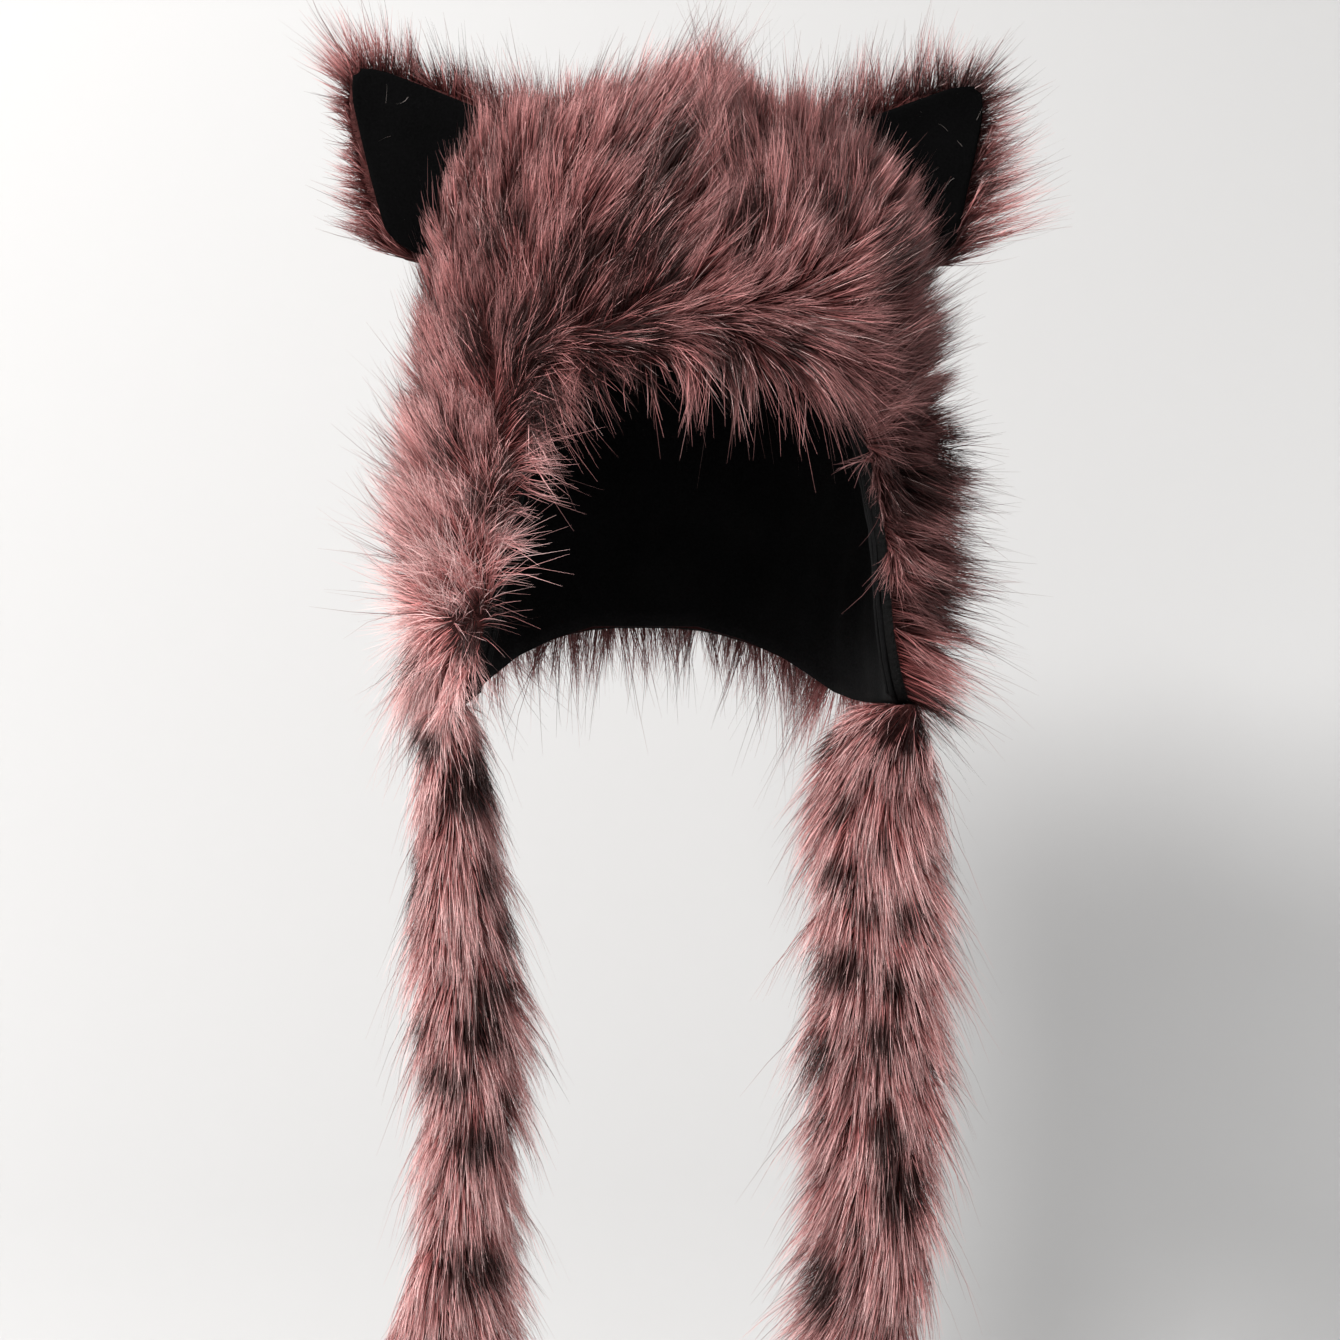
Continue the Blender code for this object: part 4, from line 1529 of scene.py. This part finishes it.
def comb_ear(shell, side):
    """Pile that runs up the back of the ear and out over its edges, and none on the felt."""
    points, normals = mesh_points(shell), vertex_normals(shell)
    share, half = up_the_ear(points)
    edge = np.clip(np.abs(points[:, 0]) / (half + EDGE_MARGIN), 0, EDGE_MOST)
    in_front = normals[:, 1] < FACES_FRONT
    on_border = (edge > BORDER_FROM) | (points[:, 2] > EAR_HEIGHT - TIP_BORDER)
    astray = np.random.default_rng(ASTRAY_SEED).normal(0, ASTRAY, len(points)) * in_front
    fan = np.sign(points[:, 0]) * edge**2 * FAN_OUT + astray
    lie = np.column_stack([fan, -FAN_FORWARD * edge**3, np.ones(len(points))])
    lie /= np.linalg.norm(lie, axis=1, keepdims=True)
    outer = np.clip(points[:, 0] * side / OUTER_OVER, 0, 1) * np.clip(OUTER_TO - share, 0, 1)
    at_side = np.clip(points[:, 0] * side / SIDE_OVER, 0, 1)
    trim = at_side * np.interp(share, (0, 1), EAR_TRIM[side])
    mark(
        shell,
        lie=lie,
        lift=np.where(in_front, FRONT_LIFT, BACK_LIFT) * (1 - OUTER_LOWER * outer),
        reach=(EAR_FULL - trim - EAR_TIP_TRIM * share) * np.where(in_front, FRONT_REACH, 1.0),
        cover=np.where(in_front, on_border * 1.0, 1.0),
        ruffle=np.ones(len(points)),
    )


def placed(mesh, side):
    mesh.transform(ear_frame(side))
    return mesh


def add_ear(side, word, seed):
    sheet = ear_sheet(f"ear_{word}_sheet", side, EAR_BORDER, EAR_BACK)
    shell = walled(sheet, f"ear_{word}_shell", -EAR_BACK * EAR_WALL_SHARE)
    shell.shade_smooth()
    furred = shell.copy()
    comb_ear(furred, side)
    placed(furred, side)
    lie = read_attribute(furred, "lie") @ np.array(ear_frame(side).to_3x3()).T
    furred.attributes["lie"].data.foreach_set("vector", lie.astype(np.float32).ravel())
    fur = grown(f"ear_{word}_fur_pile", furred, PILE, seed, **EAR_PILE)
    dye_and_painted_light(fur, seed)
    back = new_piece(f"ear_{word}_back", placed(shell, side), EAR_UNDERFUR)
    for piece in (fur, back):
        stand_in(f"ear_{word}_fur")


add_ear(-1, "left", 31)
add_ear(1, "right", 32)

# %% [markdown]
# ## Black cloth
#
# Lining, facings and ear panels are a short-napped black cloth. It is never quite black: its nap catches
# light at a flat angle, which is what sheen is for, and a fine noise breaks the surface up.

# %% Cloth for lining, facings and ears
CLOTH_SPECULAR = 0.03
SHEEN_ROUGHNESS = 0.5
NAP_GRAIN = 900.0
PATCH_GRAIN = 26.0
NAP_SHARE = 0.6
PATCH_SHARE = 0.4
NAP_BUMP = (0.5, 0.0004)
DARK_STOP = (0.3, 0.5)
LIGHT_STOP = (0.7, 1.7)


def cloth_material(name, colour, sheen):
    material, pen, shader = started(name, MATT, CLOTH_SPECULAR)
    place = pen.node("ShaderNodeTexCoord").outputs["Object"]
    nap, patch = (
        pen.node("ShaderNodeTexNoise", {"Vector": place, "Scale": grain, "Detail": 3.0}).outputs["Fac"]
        for grain in (NAP_GRAIN, PATCH_GRAIN)
    )
    mixed = pen.plus(pen.times(nap, NAP_SHARE), pen.times(patch, PATCH_SHARE))
    stops = [(position, [c * gain for c in colour]) for position, gain in (DARK_STOP, LIGHT_STOP)]
    grained(pen, shader, mixed, stops, nap, NAP_BUMP)
    shader.inputs["Sheen Weight"].default_value = sheen
    shader.inputs["Sheen Roughness"].default_value = SHEEN_ROUGHNESS
    return material


LINING = cloth_material("lining_cloth", (0.0048, 0.0048, 0.0050), 0.02)
FACING = cloth_material("facing_cloth", (0.0060, 0.0060, 0.0062), 0.03)
FELT = cloth_material("ear_felt", (0.0016, 0.0016, 0.0017), 0.0)
print("cloths:", ", ".join(cloth.name for cloth in (LINING, FACING, FELT)))

# %% [markdown]
# ## The lining
#
# The lining starts from the plain model, so that it fits inside the pelt. Cloth that is sewn in and pulled
# over a head goes slack in places, so its inner side is given low folds that run down from the crown. They
# are kept away from the seam, where the cloth is held. Moving the points is enough for folds as low as
# these, and a cloth simulation would only find them again.

# %% Slack in the lining
LINING_CREASE = 20
LINING_CUTS = 2
LINING_RADIUS = 0.11
INNER_GAIN = 1.5
FOLD_DEPTH = 0.0022
FOLD_WIDTH = 0.021
FOLD_WANDER = (2.2, 32)
RIPPLE_DEPTH = 0.0006
RIPPLE_PITCH = 410
RIPPLE_WANDER = (3, 7)
FACING_EDGE = -0.045
FREE_OVER = 0.03
LOW_OVER = 0.10


def subdivided(node):
    """A plain node's cloth as a finer mesh of quads and triangles."""
    shape = merged(node)
    paired(shape, LINING_CREASE)
    bmesh.ops.subdivide_edges(shape, edges=shape.edges, cuts=LINING_CUTS, use_grid_fill=True)
    return as_mesh(shape, node + "_cloth")


def slacken_lining(mesh):
    """Low folds on the inner side, that fade towards the facings and the top."""
    points, normals = mesh_points(mesh), vertex_normals(mesh)
    away = points - np.array([0, 0, AXIS_TOP])
    inner = np.clip(-(normals * away).sum(axis=1) / np.linalg.norm(away, axis=1) * INNER_GAIN, 0, 1)
    turn = np.arctan2(points[:, 0], -points[:, 1])
    free = np.clip((points[:, 1] - FACING_EDGE) / FREE_OVER, 0, 1)
    low = np.clip(-points[:, 2] / LOW_OVER, 0, 1)
    phase = turn * LINING_RADIUS / FOLD_WIDTH * 2 * math.pi
    phase = phase + FOLD_WANDER[0] * np.sin(points[:, 2] * FOLD_WANDER[1])
    folds = (0.5 + 0.5 * np.sin(phase)) ** 2 * FOLD_DEPTH
    wander = RIPPLE_WANDER[0] * np.sin(turn * RIPPLE_WANDER[1])
    ripples = (0.5 + 0.5 * np.sin(points[:, 2] * RIPPLE_PITCH + wander)) * RIPPLE_DEPTH
    move_points(mesh, points + normals * (inner * free * low * (folds + ripples))[:, None])
    mesh.update()


def add_lining():
    mesh = subdivided("crown_lining")
    slacken_lining(mesh)
    mesh.shade_smooth()
    lining = new_piece("lining_cloth", mesh, LINING)
    stand_in("crown_lining")
    print("lining:", len(mesh.polygons), "faces")


add_lining()

# %% [markdown]
# ## Facings
#
# A narrow strip of the same black cloth covers the front edge of each flap, where pelt and lining meet. It
# could be a stripe painted on the lining, but it is sewn on as a piece of its own and stands a little
# proud, so it is one here too. Its stitches hold it down at even steps, and the cloth swells between them.

# %% Facings on the flaps
FACING_PUFF = 0.0005
STITCH_PITCH = 0.0045
INWARD_OVER = 0.08


def add_facing(word):
    node = f"flap_facing_{word}"
    mesh = subdivided(node)
    points, normals = mesh_points(mesh), vertex_normals(mesh)
    swell = (0.5 + 0.5 * np.cos(points[:, 2] / STITCH_PITCH * 2 * math.pi)) * FACING_PUFF
    inward = np.clip(-(normals * points * [1, 1, 0]).sum(axis=1) / INWARD_OVER, 0, 1)
    move_points(mesh, points + normals * (inward * swell)[:, None])
    mesh.shade_smooth()
    facing = new_piece(f"facing_{word}", mesh, FACING)
    stand_in(node)
    print(f"facing {word}:", len(mesh.polygons), "faces")


for word in ("left", "right"):
    add_facing(word)

# %% [markdown]
# ## The felt in the ears
#
# The felt panel is cupped like the ear behind it, and its edge is turned under, so it is thickest just
# inside the edge. A few pale hairs cling to it, as they do to any black felt. They are real strands too,
# from the same fur tree, laid down in every direction.

# %% Felt panels
FELT_WALL = 0.0014
FELT_SWELL = 0.0012
SWELL_SLOPE = 6
FELT_RIPPLE = 0.0004
FELT_WAVES = (150, 60, 190)
LINT_COLOUR = (0.20, 0.17, 0.16)
LINT_LIFT = 0.10
LINT_PILE = {"density": 3500.0, "length": 0.008, "width": 0.00018, "frizz": 0.5, "stray": 0.3}

LINT = plain_material("lint", LINT_COLOUR, 0.7)


def add_lint(name, mesh, seed):
    """Loose pale hairs that lie on a cloth in no order."""
    backing = mesh.copy()
    normals = vertex_normals(backing)
    each = np.ones(len(normals))
    lie = np.cross(normals, np.random.default_rng(seed).normal(size=(len(normals), 3)))
    lie /= np.linalg.norm(lie, axis=1, keepdims=True) + 1e-9
    in_front = (normals[:, 1] < FACES_FRONT).astype(float)
    mark(backing, lie=lie, lift=each * LINT_LIFT, cover=in_front, reach=each, ruffle=each)
    lint = grown(name, backing, LINT, seed, **LINT_PILE)
    forget_marks(lint.data)
    return lint


def add_felt(side, word, seed):
    sheet = ear_sheet(f"ear_{word}_felt_sheet", side, 0.0, 0.0)
    points = mesh_points(sheet)
    half = up_the_ear(points)[1]
    middle = 1 - np.clip(np.abs(points[:, 0]) / half, 0, 1)
    up_wave, slant_wave, side_wave = FELT_WAVES
    wave = np.sin(points[:, 2] * up_wave + points[:, 0] * slant_wave)
    ripple = wave * np.sin(points[:, 0] * side_wave) * FELT_RIPPLE
    points[:, 1] -= np.minimum(middle * SWELL_SLOPE, 1) * FELT_SWELL * 0.5 + ripple
    move_points(sheet, points)
    mesh = placed(walled(sheet, f"ear_{word}_felt", FELT_WALL), side)
    mesh.shade_smooth()
    felt = new_piece(f"ear_{word}_felt", mesh, FELT)
    lint = add_lint(f"ear_{word}_lint", mesh, seed)
    for piece in (felt, lint):
        stand_in(f"ear_{word}_inner")
    print(f"ear {word} felt:", len(mesh.polygons), "faces")


add_felt(-1, "left", 41)
add_felt(1, "right", 42)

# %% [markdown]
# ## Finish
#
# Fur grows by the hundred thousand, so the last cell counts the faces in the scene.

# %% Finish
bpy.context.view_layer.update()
total = sum(len(p.data.polygons) for p in bpy.data.objects if p.type == "MESH")
print("faces in the scene:", total)
